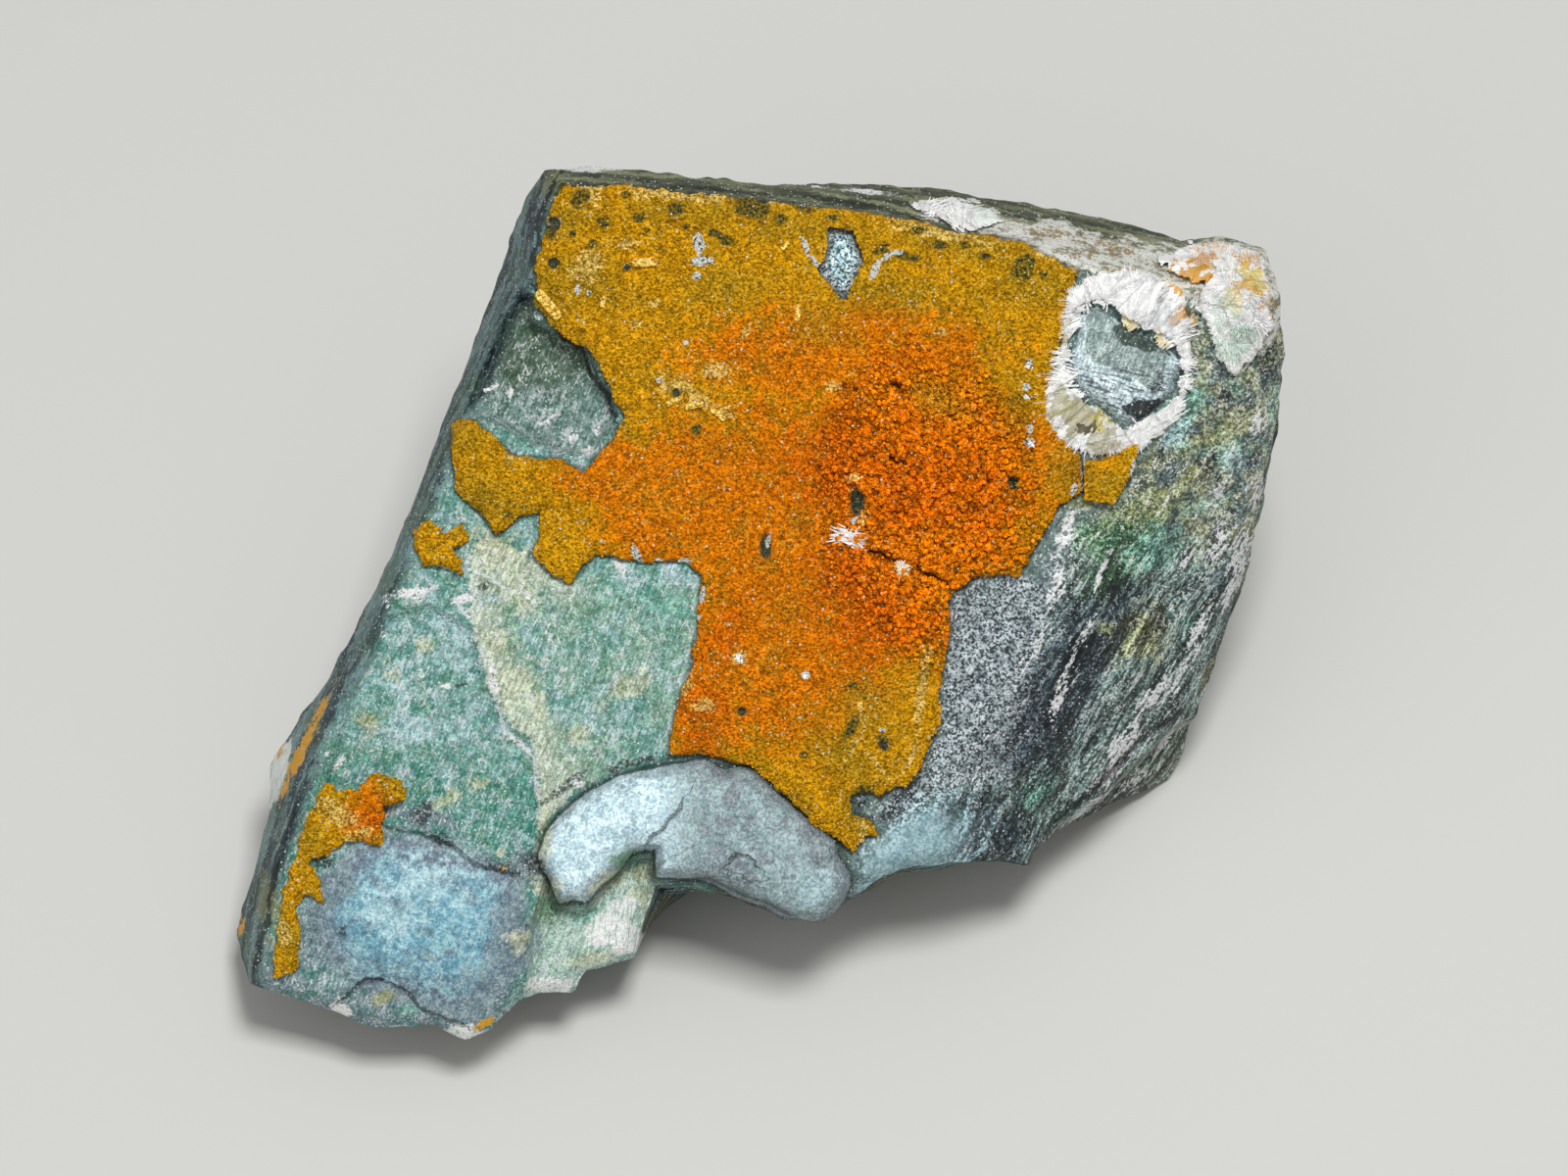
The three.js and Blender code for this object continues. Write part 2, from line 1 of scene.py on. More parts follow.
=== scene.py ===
# Looks of a desautelsite specimen: an orange crust and white artinite on a wedge of green serpentinite.
# Shapes are worked out in millimetres on the main face (across, up, out of it) and then laid down in metres.

import math
from types import SimpleNamespace

import bmesh
import bpy
import numpy as np
from mathutils import Matrix, Vector


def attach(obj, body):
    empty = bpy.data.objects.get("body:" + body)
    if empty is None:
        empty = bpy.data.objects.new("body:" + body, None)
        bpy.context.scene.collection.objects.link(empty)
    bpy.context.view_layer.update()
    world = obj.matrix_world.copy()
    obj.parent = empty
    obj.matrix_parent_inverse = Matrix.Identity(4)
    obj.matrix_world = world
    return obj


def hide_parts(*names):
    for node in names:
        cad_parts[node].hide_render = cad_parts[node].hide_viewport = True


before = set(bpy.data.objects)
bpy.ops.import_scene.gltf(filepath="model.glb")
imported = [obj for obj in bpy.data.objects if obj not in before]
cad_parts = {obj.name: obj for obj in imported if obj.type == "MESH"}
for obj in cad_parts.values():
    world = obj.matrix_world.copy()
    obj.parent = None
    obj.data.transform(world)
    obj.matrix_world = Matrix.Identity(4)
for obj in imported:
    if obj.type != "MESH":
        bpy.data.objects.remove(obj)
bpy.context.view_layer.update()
random = np.random.default_rng(12)
print("frame loaded")

# How the main face lies, as in the solids
face = dict(tilt=30, height=22.0, shiftAcross=0.35, shiftBack=-0.74)
tilt = math.radians(face["tilt"])
faceTurn = np.array([[1, 0, 0], [0, math.cos(tilt), -math.sin(tilt)], [0, math.sin(tilt), math.cos(tilt)]])
faceShift = np.array([face["shiftAcross"], face["shiftBack"], face["height"]])
metre = 1000.0


def laidDown(place):
    return (np.asarray(place) @ faceTurn.T + faceShift) / metre


def onFace(place):
    return (np.asarray(place) * metre - faceShift) @ faceTurn


# The rim of the rock as the main face shows it
rimLeft = [
    (-37.1, -28.4), (-38.2, -24.9), (-37.5, -22.1), (-35.8, -16.5), (-36, -13), (-34.3, -10.2),
    (-31.5, -6.7), (-28.4, -0.7), (-25.3, 6.3), (-22.4, 14), (-19.8, 21), (-17.5, 27.7), (-15.8, 30),
]
rimBottom = [
    (-37.1, -28.4), (-33.6, -29.4), (-30.8, -30.3), (-28, -31.3), (-23.8, -31.3), (-21.4, -32.4),
    (-19.6, -31.6), (-17.2, -29.3), (-13.7, -28.9), (-13.1, -27.5), (-9.3, -26.5), (-8.6, -23.5),
    (-7.9, -21.2), (-5.6, -21.2), (-1.4, -22.4), (1.4, -23.8), (4.1, -24), (5.8, -22.4), (8.4, -20.8),
    (10.9, -19.9), (15.4, -19.5), (18.9, -19.7), (20.7, -17.9), (24.5, -16.3), (29.9, -14.1),
]
rimRight = [
    (29.9, -14.1), (31.1, -12.1), (31.4, -9.8), (32.5, -6.3), (33.8, -2.8), (35.2, 2.1), (36.1, 7),
    (37.1, 12.6), (37.3, 16.8), (36.8, 21), (36.4, 24.5),
]
rimTop = [
    (-15.8, 30), (-12.6, 30.4), (-9.1, 30), (-5.6, 29.6), (0.7, 28.9), (4.9, 29.2), (10.5, 29),
    (13.3, 29), (16.1, 28.2), (21, 27.5), (25.9, 26.5), (30.1, 25.2), (32.6, 25.5), (34.7, 25),
    (36.4, 24.5),
]
rim = rimTop + rimRight[-2:0:-1] + rimBottom[::-1] + rimLeft[1:-1]

# The flat break under the rock, seen from above
footLeft = [(-27, -13), (-22, 3), (-16, 13), (-10, 21.5)]
footBottom = [(-27, -13), (-17, -17), (-4, -12.5), (8, -11.5), (21, -1.5)]
footRight = [(21, -1.5), (27, 8), (29, 18)]
footTop = [(-10, 21.5), (8, 23), (29, 18)]

# Regions past the crests, where the face turns away
farAway = 70
leftWall = [
    (-15, farAway), (-15, 29), (-16.1, 25.6), (-16.6, 22.4), (-18.2, 18.9), (-20.3, 14), (-22.4, 9.8),
    (-25.6, 2.1), (-28.6, -4.6), (-32.1, -11.9), (-34.7, -19.6), (-36.3, -27), (-36.3, -farAway),
    (-farAway, -farAway), (-farAway, farAway),
]
topWall = [
    (-15.5, farAway), (-15.5, 28.9), (-5.6, 28.4), (1.4, 27.5), (8.4, 26.5), (15.4, 25), (22.4, 23.3),
    (29.4, 21.6), (36.4, 21), (farAway, 21), (farAway, farAway),
]
rightSlope = [
    (30.5, 21), (30.3, 14), (28, 10.2), (24.9, 6), (22.4, 3.9), (21, 0), (17.5, -5.6), (14.4, -11.2),
    (12.6, -15.4), (11.9, -farAway), (farAway, -farAway), (farAway, 21),
]

# Broken ledges and swellings of the face
hollow = [
    (-16.3, 21), (-16.5, 19.3), (-12.6, 17.4), (-11.8, 15.1), (-10.7, 14), (-10.4, 12.3), (-11.4, 10.9),
    (-12.3, 9.3), (-15.1, 9.7), (-16.8, 10.5), (-20, 12.1), (-21.7, 12.3), (-21, 14.7), (-19.6, 17.9),
    (-17.6, 21.3),
]
lowPanel = [
    (-21, -2.8), (-19.8, -7), (-18.5, -9.5), (-16.5, -11), (-16.1, -14), (-16.1, -18.3), (-17.5, -20),
    (-20.3, -18.9), (-23.8, -17.5), (-26.6, -17.2), (-31.5, -14), (-30, -8.5), (-27, -2), (-24, -1),
]
underRoll = [
    (-15.4, -19.5), (-14.8, -22.5), (-12.7, -22.8), (-11.8, -21.4), (-10.5, -20), (-9.1, -19),
    (-7.7, -19), (-7.4, -22), (-8, -farAway), (-17.5, -farAway), (-17, -25),
]
lowerEdge = [
    (20.5, -17.6), (24.5, -15), (27.3, -12.3), (30.6, -9.5), (farAway, -9.5), (farAway, -farAway),
    (20.5, -farAway),
]
chip = [
    (22.2, 19.5), (23.8, 20.2), (25.9, 18.6), (28.7, 17.2), (29.8, 16.1), (29.1, 14), (27, 11.9),
    (25.6, 11.8), (23.8, 13.3), (22.3, 14.4), (21.7, 16.1), (22.4, 17.9),
]
rimRoll = [
    (-16.1, -18.9), (-15.7, -17.5), (-14.4, -16), (-11.9, -14.2), (-9.1, -13), (-4.2, -12.3),
    (-0.7, -13.3), (0.7, -14.8), (4.9, -18.1), (6, -20), (5.9, -22.1), (4.9, -23.5), (3.5, -24),
    (1.4, -23.5), (-4.2, -21), (-7.8, -20.7), (-7.8, -18.9), (-9.1, -18.8), (-10.5, -20),
    (-11.8, -21.4), (-12.7, -22.5), (-14.8, -22.5),
]
knob = [
    (-27, -17.2), (-24.5, -17.5), (-21.7, -18.3), (-19.6, -19), (-17.5, -20.3), (-16.8, -23.1),
    (-16.5, -25.2), (-17.5, -28), (-20.3, -31.2), (-23.1, -30.5), (-26.6, -29.5), (-29.5, -28.7),
    (-31.5, -27), (-32.9, -24.5), (-32.9, -22), (-31.5, -20.3), (-29.4, -18.2),
]
chipRise = 0.9
ledges = [  # outline, rise, run
    (hollow, -2, 0.5), (lowPanel, -0.6, 0.4), (underRoll, -1.6, 0.5), (lowerEdge, -3, 0.6),
    (chip, chipRise, 0.4),
]
swellings = [(rimRoll, 2.3, 3.2), (knob, 1.5, 4.5)]

# Patches that differ in colour only
rightPanel = [
    (-21.1, 2.8), (-19.6, 3.9), (-16.5, 2.1), (-15.4, 2.8), (-13.3, 0.4), (-9.8, 1.8), (-4.6, 0.7),
    (-4.2, -2.8), (-5.6, -7), (-6.3, -11.2), (-9.8, -13), (-13.3, -14), (-16.1, -17.5), (-16.1, -14),
    (-16.5, -11), (-18.5, -9.5), (-19.8, -7), (-20.9, -3.2),
]
silver = [
    (22.8, 6.7), (22.1, 3.6), (20, 1.4), (18.2, 0.7), (15.4, 0.8), (13.3, -0.1), (12.6, -3.5),
    (11.9, -7), (11.6, -11.2), (10.2, -13.7), (7.7, -16.5), (8.4, -17.5), (10.5, -16.5), (13.7, -14.4),
    (17.5, -14), (20, -11.2), (19.7, -8.1), (19.7, -3.5), (21, 0), (22.4, 2.8),
]
paleFoot = [
    (6.2, -22.1), (7, -18.8), (8.8, -17.4), (10.9, -15.4), (13.7, -14.4), (16.1, -15.1), (18.9, -16.8),
    (19.7, -18.3), (18.2, -20.5), (12.6, -21.5), (8.8, -22.4),
]
darkBand = [
    (27, 1.2), (24.6, 2), (22.6, -0.3), (20.4, -3.6), (18.6, -7.6), (17.4, -11.6), (17.6, -13.4),
    (19.6, -13.2), (21.8, -11), (24, -7.4), (25.4, -4), (27.4, -1.4),
]
creamBand = [
    (10.4, 27.4), (12.6, 27.9), (15.8, 27.5), (17.5, 26.5), (20.7, 26.5), (24.5, 25.3), (28, 25),
    (30.5, 24.5), (31.9, 25.3), (35.7, 25.2), (37.6, 24.2), (37.6, 18.9), (35, 16.5), (32.9, 16),
    (31.9, 18.2), (30.5, 21), (28.7, 20.3), (25.9, 21.6), (23.1, 22.5), (19.6, 23.7), (16.1, 25.2),
    (13.7, 25.8),
]

# Outlines of the crystal sheets
mainCrust = [
    (-14.5, 28.8), (-9.8, 28.7), (-1.4, 27.7), (4.9, 27.1), (10.2, 26.5), (13.7, 25.4), (18.2, 24.9),
    (22.3, 22.5), (22, 20.4), (21.8, 18.8), (20.9, 16.8), (20.6, 14.4), (20.5, 12.3), (21.6, 10.4),
    (22.6, 9.4), (22.6, 6.9), (21, 5.7), (19.7, 3.6), (18.2, 1), (15.3, 0.9), (13.5, -0.3),
    (13.1, -1.5), (13.3, -3.2), (12.5, -7), (12.3, -10.2), (11.1, -13), (10.2, -14.4), (9.4, -14),
    (8.3, -15.1), (7.4, -14.5), (6.2, -14.8), (6.4, -16), (7.6, -16.5), (8.1, -17.7), (7.1, -17.7),
    (6.4, -19), (5.6, -18.4), (3.4, -16.7), (1.8, -15.2), (0.5, -14), (-1, -12.8), (-2.9, -12.2),
    (-4.5, -11.8), (-6.9, -12.1), (-6.4, -8.8), (-5.3, -5.7), (-4.8, -2.8), (-4.5, 0.8), (-5.7, 2),
    (-8.1, 1.8), (-9.5, 2), (-12, 2.4), (-13, 1.3), (-13.9, 0.3), (-15.1, 0.8), (-16.8, 2.4),
    (-15.9, 3.8), (-16.2, 5.2), (-17.4, 5.2), (-19.1, 3.6), (-20.3, 5.3), (-22.1, 7), (-22.4, 10),
    (-22.4, 11.8), (-20.8, 12), (-18.9, 10.3), (-17.9, 9.4), (-14.6, 9.2), (-13, 8.3), (-11.2, 10.2),
    (-10, 12.3), (-10.7, 13.6), (-12, 16.1), (-12.8, 17.3), (-14.2, 17.9), (-16.4, 20), (-16.1, 21.5),
    (-16.4, 22.8), (-15.8, 24.2), (-15.5, 26.3),
]
crustWindow = [
    (4.6, 25.8), (6.2, 25.5), (7.1, 23.7), (6.4, 21.7), (5.7, 20.6), (4.8, 21.3), (3.9, 22.8),
    (4.4, 23.9),
]
leftPatch = [
    (-25.2, 4.2), (-23.8, 4.9), (-22.8, 4.1), (-21.6, 4.7), (-21.3, 3.4), (-22, 2.6), (-21.4, 0.7),
    (-22.8, 1.5), (-24.5, 1.6), (-25, 3),
]
lowPatch = [
    (-31.4, -13.8), (-30.4, -14.6), (-29, -14.4), (-27.9, -13.2), (-25.8, -13.7), (-25.6, -14.9),
    (-27.1, -15.8), (-27.4, -18.4), (-28.7, -18), (-30.1, -18.3), (-31.4, -19), (-32.3, -19.6),
    (-31.6, -21), (-31.5, -22.4), (-32.8, -21.9), (-33.4, -22.8), (-33, -24.5), (-33.3, -26.3),
    (-33.6, -27.6), (-35, -27.6), (-35.2, -26.5), (-34.6, -23), (-33.9, -20), (-32.9, -17),
    (-32, -15.5),
]
flake = [(22.8, 9.1), (24, 9.2), (26.6, 10.3), (26.4, 8.4), (24.9, 6), (22.85, 6.3)]
ringOutside = [
    (21.3, 20.8), (23, 22.3), (26.6, 22.8), (30, 21.4), (30.5, 17.9), (30.3, 14.7), (29.8, 12.3),
    (28, 10.6), (26.6, 9.7), (23.5, 9.4), (21, 10.4), (19.8, 12.3), (19.9, 14.4), (21, 16.1),
    (21.2, 18.9),
]
ringInside = [
    (21.9, 19.8), (24, 20.7), (26.1, 19), (28.9, 17.6), (30, 16.4), (29.6, 13.8), (27.2, 11.4),
    (25.4, 11.4), (23.5, 12.9), (21.9, 14.1), (21.2, 16.1), (21.9, 18),
]
cornerMass = [
    (28, 23.7), (30.5, 24.8), (32.9, 25.1), (35.5, 24.3), (36.2, 23.2), (36.1, 21), (36.4, 18.9),
    (35.4, 16.5), (33.7, 15.1), (32.6, 16.1), (31.9, 18.2), (31.1, 20), (31.1, 21.7), (29.3, 22.4),
]
topFan = [
    (10.5, 27.5), (11.6, 28), (14.3, 27.9), (16.3, 27.2), (17.1, 26.4), (14.7, 25.6), (13.7, 25.9),
    (12.2, 26.9),
]


# The chip inside the white ring: a grey plate, its dark green edge and a dark spot
chipPlate = [
    (22.8, 20), (23.5, 20.2), (24.5, 19.8), (25.2, 18.5), (25.4, 17.4), (26.7, 17), (27.9, 17.4),
    (28.9, 16.5), (28.4, 15), (27.7, 14), (26.4, 15), (25.2, 15.5), (23.7, 16), (22.8, 17), (23, 18.5),
]
chipBand = [
    (24.8, 18.5), (25.7, 19), (26.7, 18.2), (27.7, 17.7), (29.3, 16.5), (28.7, 16.65), (26.7, 17),
    (25.4, 17.4),
]
chipSpot = [(25.4, 12.9), (26.7, 13.5), (28.4, 13.5), (28.5, 12.6), (26.7, 12), (25.7, 12.3)]

# Colour patches: across, up, half length, half width, angle
rockPaint = dict(
    green=[
        (25.9, 3.15, 4.2, 2.8, 50), (24.1, 3.4, 1.5, 2.4, 60), (27.65, 5.6, 2.8, 1.4, 20),
        (24.5, 0.7, 2.8, 1.4, 50), (-15.4, -23.1, 1.82, 1.26, 20), (-9.8, -19.6, 1.54, 0.98, 20),
    ],
    aqua=[
        (28.35, 2.8, 2.38, 1.68, 30), (30.45, 13.3, 1.68, 1.12, 30), (19.6, -14.84, 2.38, 1.4, 50),
        (31.15, -2.8, 1.54, 0.84, 60), (22.05, -16.24, 1.54, 0.7, 30), (-9.8, 0, 3.5, 1.12, -5),
        (-6.3, -1.4, 1.4, 2.52, 80), (-9.45, -19.95, 1.54, 0.7, 30), (-12.6, -23.45, 1.68, 0.84, 10),
        (-25.55, -30.24, 1.26, 0.56, 0), (-29.4, 0.7, 1.4, 3.5, 60),
    ],
    olive=[
        (27.3, -3.5, 2.52, 2.1, 50), (28, 5.95, 3.08, 1.12, 20), (-35.6, -22.5, 1.2, 3, 8),
        (32.9, 11.2, 2.1, 1.12, 30), (23.1, 6.44, 1.68, 0.7, 20), (-28.35, -9.59, 1.05, 1.12, 60),
        (35.7, 4.2, 0.98, 0.7, 60), (32.55, -6.3, 1.68, 0.63, 60), (-27.16, -29.26, 1.12, 0.63, 20),
        (28, 9.1, 1.12, 0.7, 20), (31.15, 8.4, 1.68, 0.84, 30), (-8.75, -20.3, 1.12, 0.7, 0),
        (24.5, -2.8, 0.7, 0.56, 0), (-30.8, -1.4, 0.7, 2.1, 60), (-31.5, 0, 0.84, 1.4, 60),
    ],
    dark=[
        (22.4, -7, 5.32, 1.26, 58), (24.5, -0.56, 3.08, 0.91, 15), (25.9, -2.8, 0.98, 0.77, 0),
        (36.12, 16.66, 1.82, 1.05, 80), (18.34, -9.94, 3.92, 0.63, 58), (20.86, -12.25, 3.08, 0.98, 58),
        (10.22, -14, 2.1, 0.98, 55), (35.14, 9.1, 1.4, 0.63, 70), (28, 14.35, 1.12, 0.56, 60),
        (30.45, 0, 1.82, 0.63, 20), (29.75, -8.4, 2.1, 0.49, 50), (22.4, -1.4, 1.26, 0.7, 60),
        (28.7, -2.8, 1.12, 0.49, 60), (19.6, -6.3, 2.1, 0.56, 60), (-19.95, 0.14, 0.63, 0.42, 30),
        (33.25, 14, 1.26, 0.49, 40), (32.2, 9.1, 1.54, 0.42, 60), (-23.1, -17.85, 1.12, 0.7, -20),
        (-24.5, -16.1, 0.98, 1.12, 0), (-14, -14, 2.8, 0.42, 35), (-9.8, -12.6, 2.8, 0.35, 16),
        (-18.9, -19.95, 1.82, 0.56, -20), (-31.5, -19.6, 0.98, 0.56, 0), (-30.1, -24.5, 0.56, 0.7, 0),
        (-28, -28, 1.4, 0.28, 10), (-16.45, -19.6, 0.7, 1.26, 60), (-30.45, 1.05, 0.56, 1.82, 60),
        (-21.7, -7, 0.56, 0.35, 0), (8.75, -16.24, 0.98, 0.56, 60), (6.86, -15.26, 0.84, 0.7, 30),
    ],
    white=[
        (24.36, 1.54, 1.82, 0.28, 70), (21.42, 3.85, 2.1, 0.63, 72), (20.86, 0, 1.82, 0.63, 70),
        (32.55, 2.94, 2.52, 0.63, 75), (34.72, 2.45, 2.24, 0.98, 80), (22.61, -3.85, 1.82, 0.28, 62),
        (21.21, -7.84, 1.82, 0.42, 60), (26.04, -11.2, 2.24, 0.91, 40), (25.34, -13.3, 1.96, 0.56, 35),
        (23.24, -16.24, 2.94, 0.35, 38), (30.52, -5.6, 2.94, 0.42, 60), (31.64, -2.8, 2.66, 0.42, 62),
        (28.14, -7.84, 2.1, 0.56, 50), (32.9, 7, 1.54, 0.42, 60), (35.35, 11.9, 0.84, 0.7, 60),
        (33.95, 0, 1.82, 0.49, 70), (29.4, -11.2, 1.54, 0.42, 50), (27.3, -14, 1.54, 0.42, 40),
        (19.6, -4.2, 1.54, 0.35, 62), (30.45, 2.1, 0.98, 0.42, 70), (35.7, 7, 1.26, 0.56, 75),
        (-11.2, -24.5, 2.1, 0.98, 8), (-9.8, -25.76, 1.4, 0.56, 10), (-15.4, -28.42, 1.82, 0.7, -6),
        (-30.31, -30.1, 1.05, 0.42, -15), (-21.42, -31.64, 1.68, 0.63, 0),
        (-35.21, -13.3, 3.08, 0.77, 72), (-13.3, 30.1, 2.24, 0.42, -3), (7.35, 28.56, 3.08, 0.28, -4),
        (3.5, 28.98, 1.82, 0.21, -4), (14.7, 28, 2.1, 0.28, -6), (-12.6, 9.66, 0.98, 0.63, 35),
        (-13.65, 10.85, 0.63, 0.35, 40), (-16.45, 9.1, 0.84, 0.28, -10), (-12.04, 11.2, 0.49, 0.35, 60),
        (-19.6, 14.35, 0.7, 0.21, 20), (-18.2, 14, 0.98, 0.28, 75), (-15.68, 11.9, 0.98, 0.28, 40),
        (-19.39, -6.65, 3.08, 0.32, -74), (-17.78, -11.06, 1.54, 0.32, -30),
        (-16.38, -14, 2.1, 0.18, -84), (-21, -2.24, 1.4, 0.21, -55), (-19.6, 2.38, 1.68, 0.11, -35),
        (-19.25, -3.5, 0.98, 0.21, -60), (-21.7, -0.84, 1.54, 0.35, 20), (-16.8, -0.7, 1.12, 0.28, -60),
        (-9.8, 1.05, 1.12, 0.21, -65), (-10.64, 1.54, 0.98, 0.21, -60), (-14.7, -5.6, 0.21, 1.12, 60),
        (-15.4, -2.8, 1.12, 0.15, 60), (-14.35, -12.95, 0.98, 0.28, -50), (-13.3, -14, 0.56, 0.42, 0),
        (-22.75, -7, 0.63, 0.28, 0), (-26.95, -1.4, 1.12, 0.21, -80), (-24.5, -6.3, 0.84, 0.21, -60),
        (-25.2, -0.35, 2.1, 0.56, 10), (-27.3, -3.5, 0.21, 0.98, 20), (-31.15, -11.55, 0.84, 0.21, 60),
        (-30.45, -12.6, 0.98, 0.28, 60),
    ],
    bluePale=[
        (-19.25, -10.15, 0.98, 0.98, 0), (-21.7, -4.2, 1.4, 2.1, 0), (-24.85, -10.15, 2.8, 1.12, 0),
        (-26.6, -6.3, 2.1, 0.84, 30), (-9.8, 0.7, 1.4, 0.7, 0), (-23.1, -2.8, 1.82, 0.7, 0),
        (-19.6, -0.7, 1.4, 0.7, 0), (-5.6, 0.7, 0.98, 2.1, 80), (29.75, 11.2, 1.68, 0.7, 30),
        (34.3, 9.1, 0.84, 1.68, 80), (32.9, 0.7, 1.4, 0.7, 60), (3.4, -21.6, 1.4, 2.1, -30),
        (-23.8, -21, 2.8, 2.1, 0), (-26.6, -23.45, 2.1, 2.1, 0),
    ],
    cream=[
        (-19.25, -3.85, 1.4, 0.98, -60), (-17.5, -6.3, 1.82, 1.82, -80),
        (-16.24, -8.05, 2.1, 0.63, -85), (-15.68, -17.5, 3.08, 0.63, 86), (-19.25, 2.8, 2.1, 1.54, -30),
        (-17.64, 0, 1.68, 1.82, 60), (-13.3, -10.5, 0.98, 0.7, 0), (-11.2, -21, 1.68, 0.84, 30),
        (-8.75, -22.05, 0.98, 1.12, 60), (-17.5, -25.2, 0.98, 0.98, 0), (-18.9, -18.9, 0.42, 0.42, 0),
        (-20.3, -14, 0.84, 0.56, 0), (-22.75, -15.05, 1.12, 0.56, 30), (-26.6, -6.3, 0.84, 0.56, 0),
        (-24.5, -4.2, 0.98, 0.56, 0), (-9.8, -7, 2.1, 0.98, 30), (-15.4, -21.35, 0.84, 1.4, 70),
        (-12.6, -26.6, 2.1, 0.56, 10),
    ],
    stain=[
        (-33.1, -11.4, 5.6, 0.6, 65), (-37.8, -24.5, 1.05, 0.42, 80), (-20.16, -31.22, 1.26, 0.42, 30),
        (-22.4, -32.34, 0.84, 0.28, 0), (-35.14, -11.9, 0.98, 0.28, 70),
        (-18.62, -19.88, 0.42, 0.28, 0), (30.45, 18.9, 0.7, 0.56, 60),
    ],
    pure=[
        (-11.1, -24.5, 2.1, 1.5, 6), (-10.2, -22.9, 1.4, 0.7, 12), (-9.6, -25.6, 1.5, 0.8, 14),
        (-15.4, -28.5, 1.95, 0.75, -3), (-35.4, -13.6, 3.4, 1, 72), (-21.4, -31.7, 1.4, 0.7, 0),
        (-30.3, -30.2, 1.1, 0.5, -15), (-12.6, 30.3, 2.4, 0.5, -3),
    ],
    slate=[
        (-30, -30.6, 6, 1.3, -8), (-36.2, -27.2, 1.6, 2.4, 10), (-22.5, -31.2, 3, 1, 0),
        (-34.3, -28, 2.8, 1.8, -10), (-32.2, -25.2, 1.4, 2.8, 0), (-26.6, -30.1, 6.3, 1, -14),
        (-19.6, -29.4, 2.1, 1.7, 40), (-17.9, -25.2, 1.7, 2.8, 0), (-30.5, -21.4, 1, 1.8, -30),
        (-24.5, -16.5, 2.4, 0.6, -12), (-17, -19.8, 1.4, 1.2, 0),
    ],
    smooth=[
        (-12.6, -17.5, 4.2, 2.1, 30), (-5.6, -16.1, 4.9, 2.8, 0), (1.4, -19.6, 3.5, 2.8, -40),
        (11, -18.5, 4.2, 2.1, 20), (-24.5, -23.1, 4.9, 3.5, 0),
    ],
)
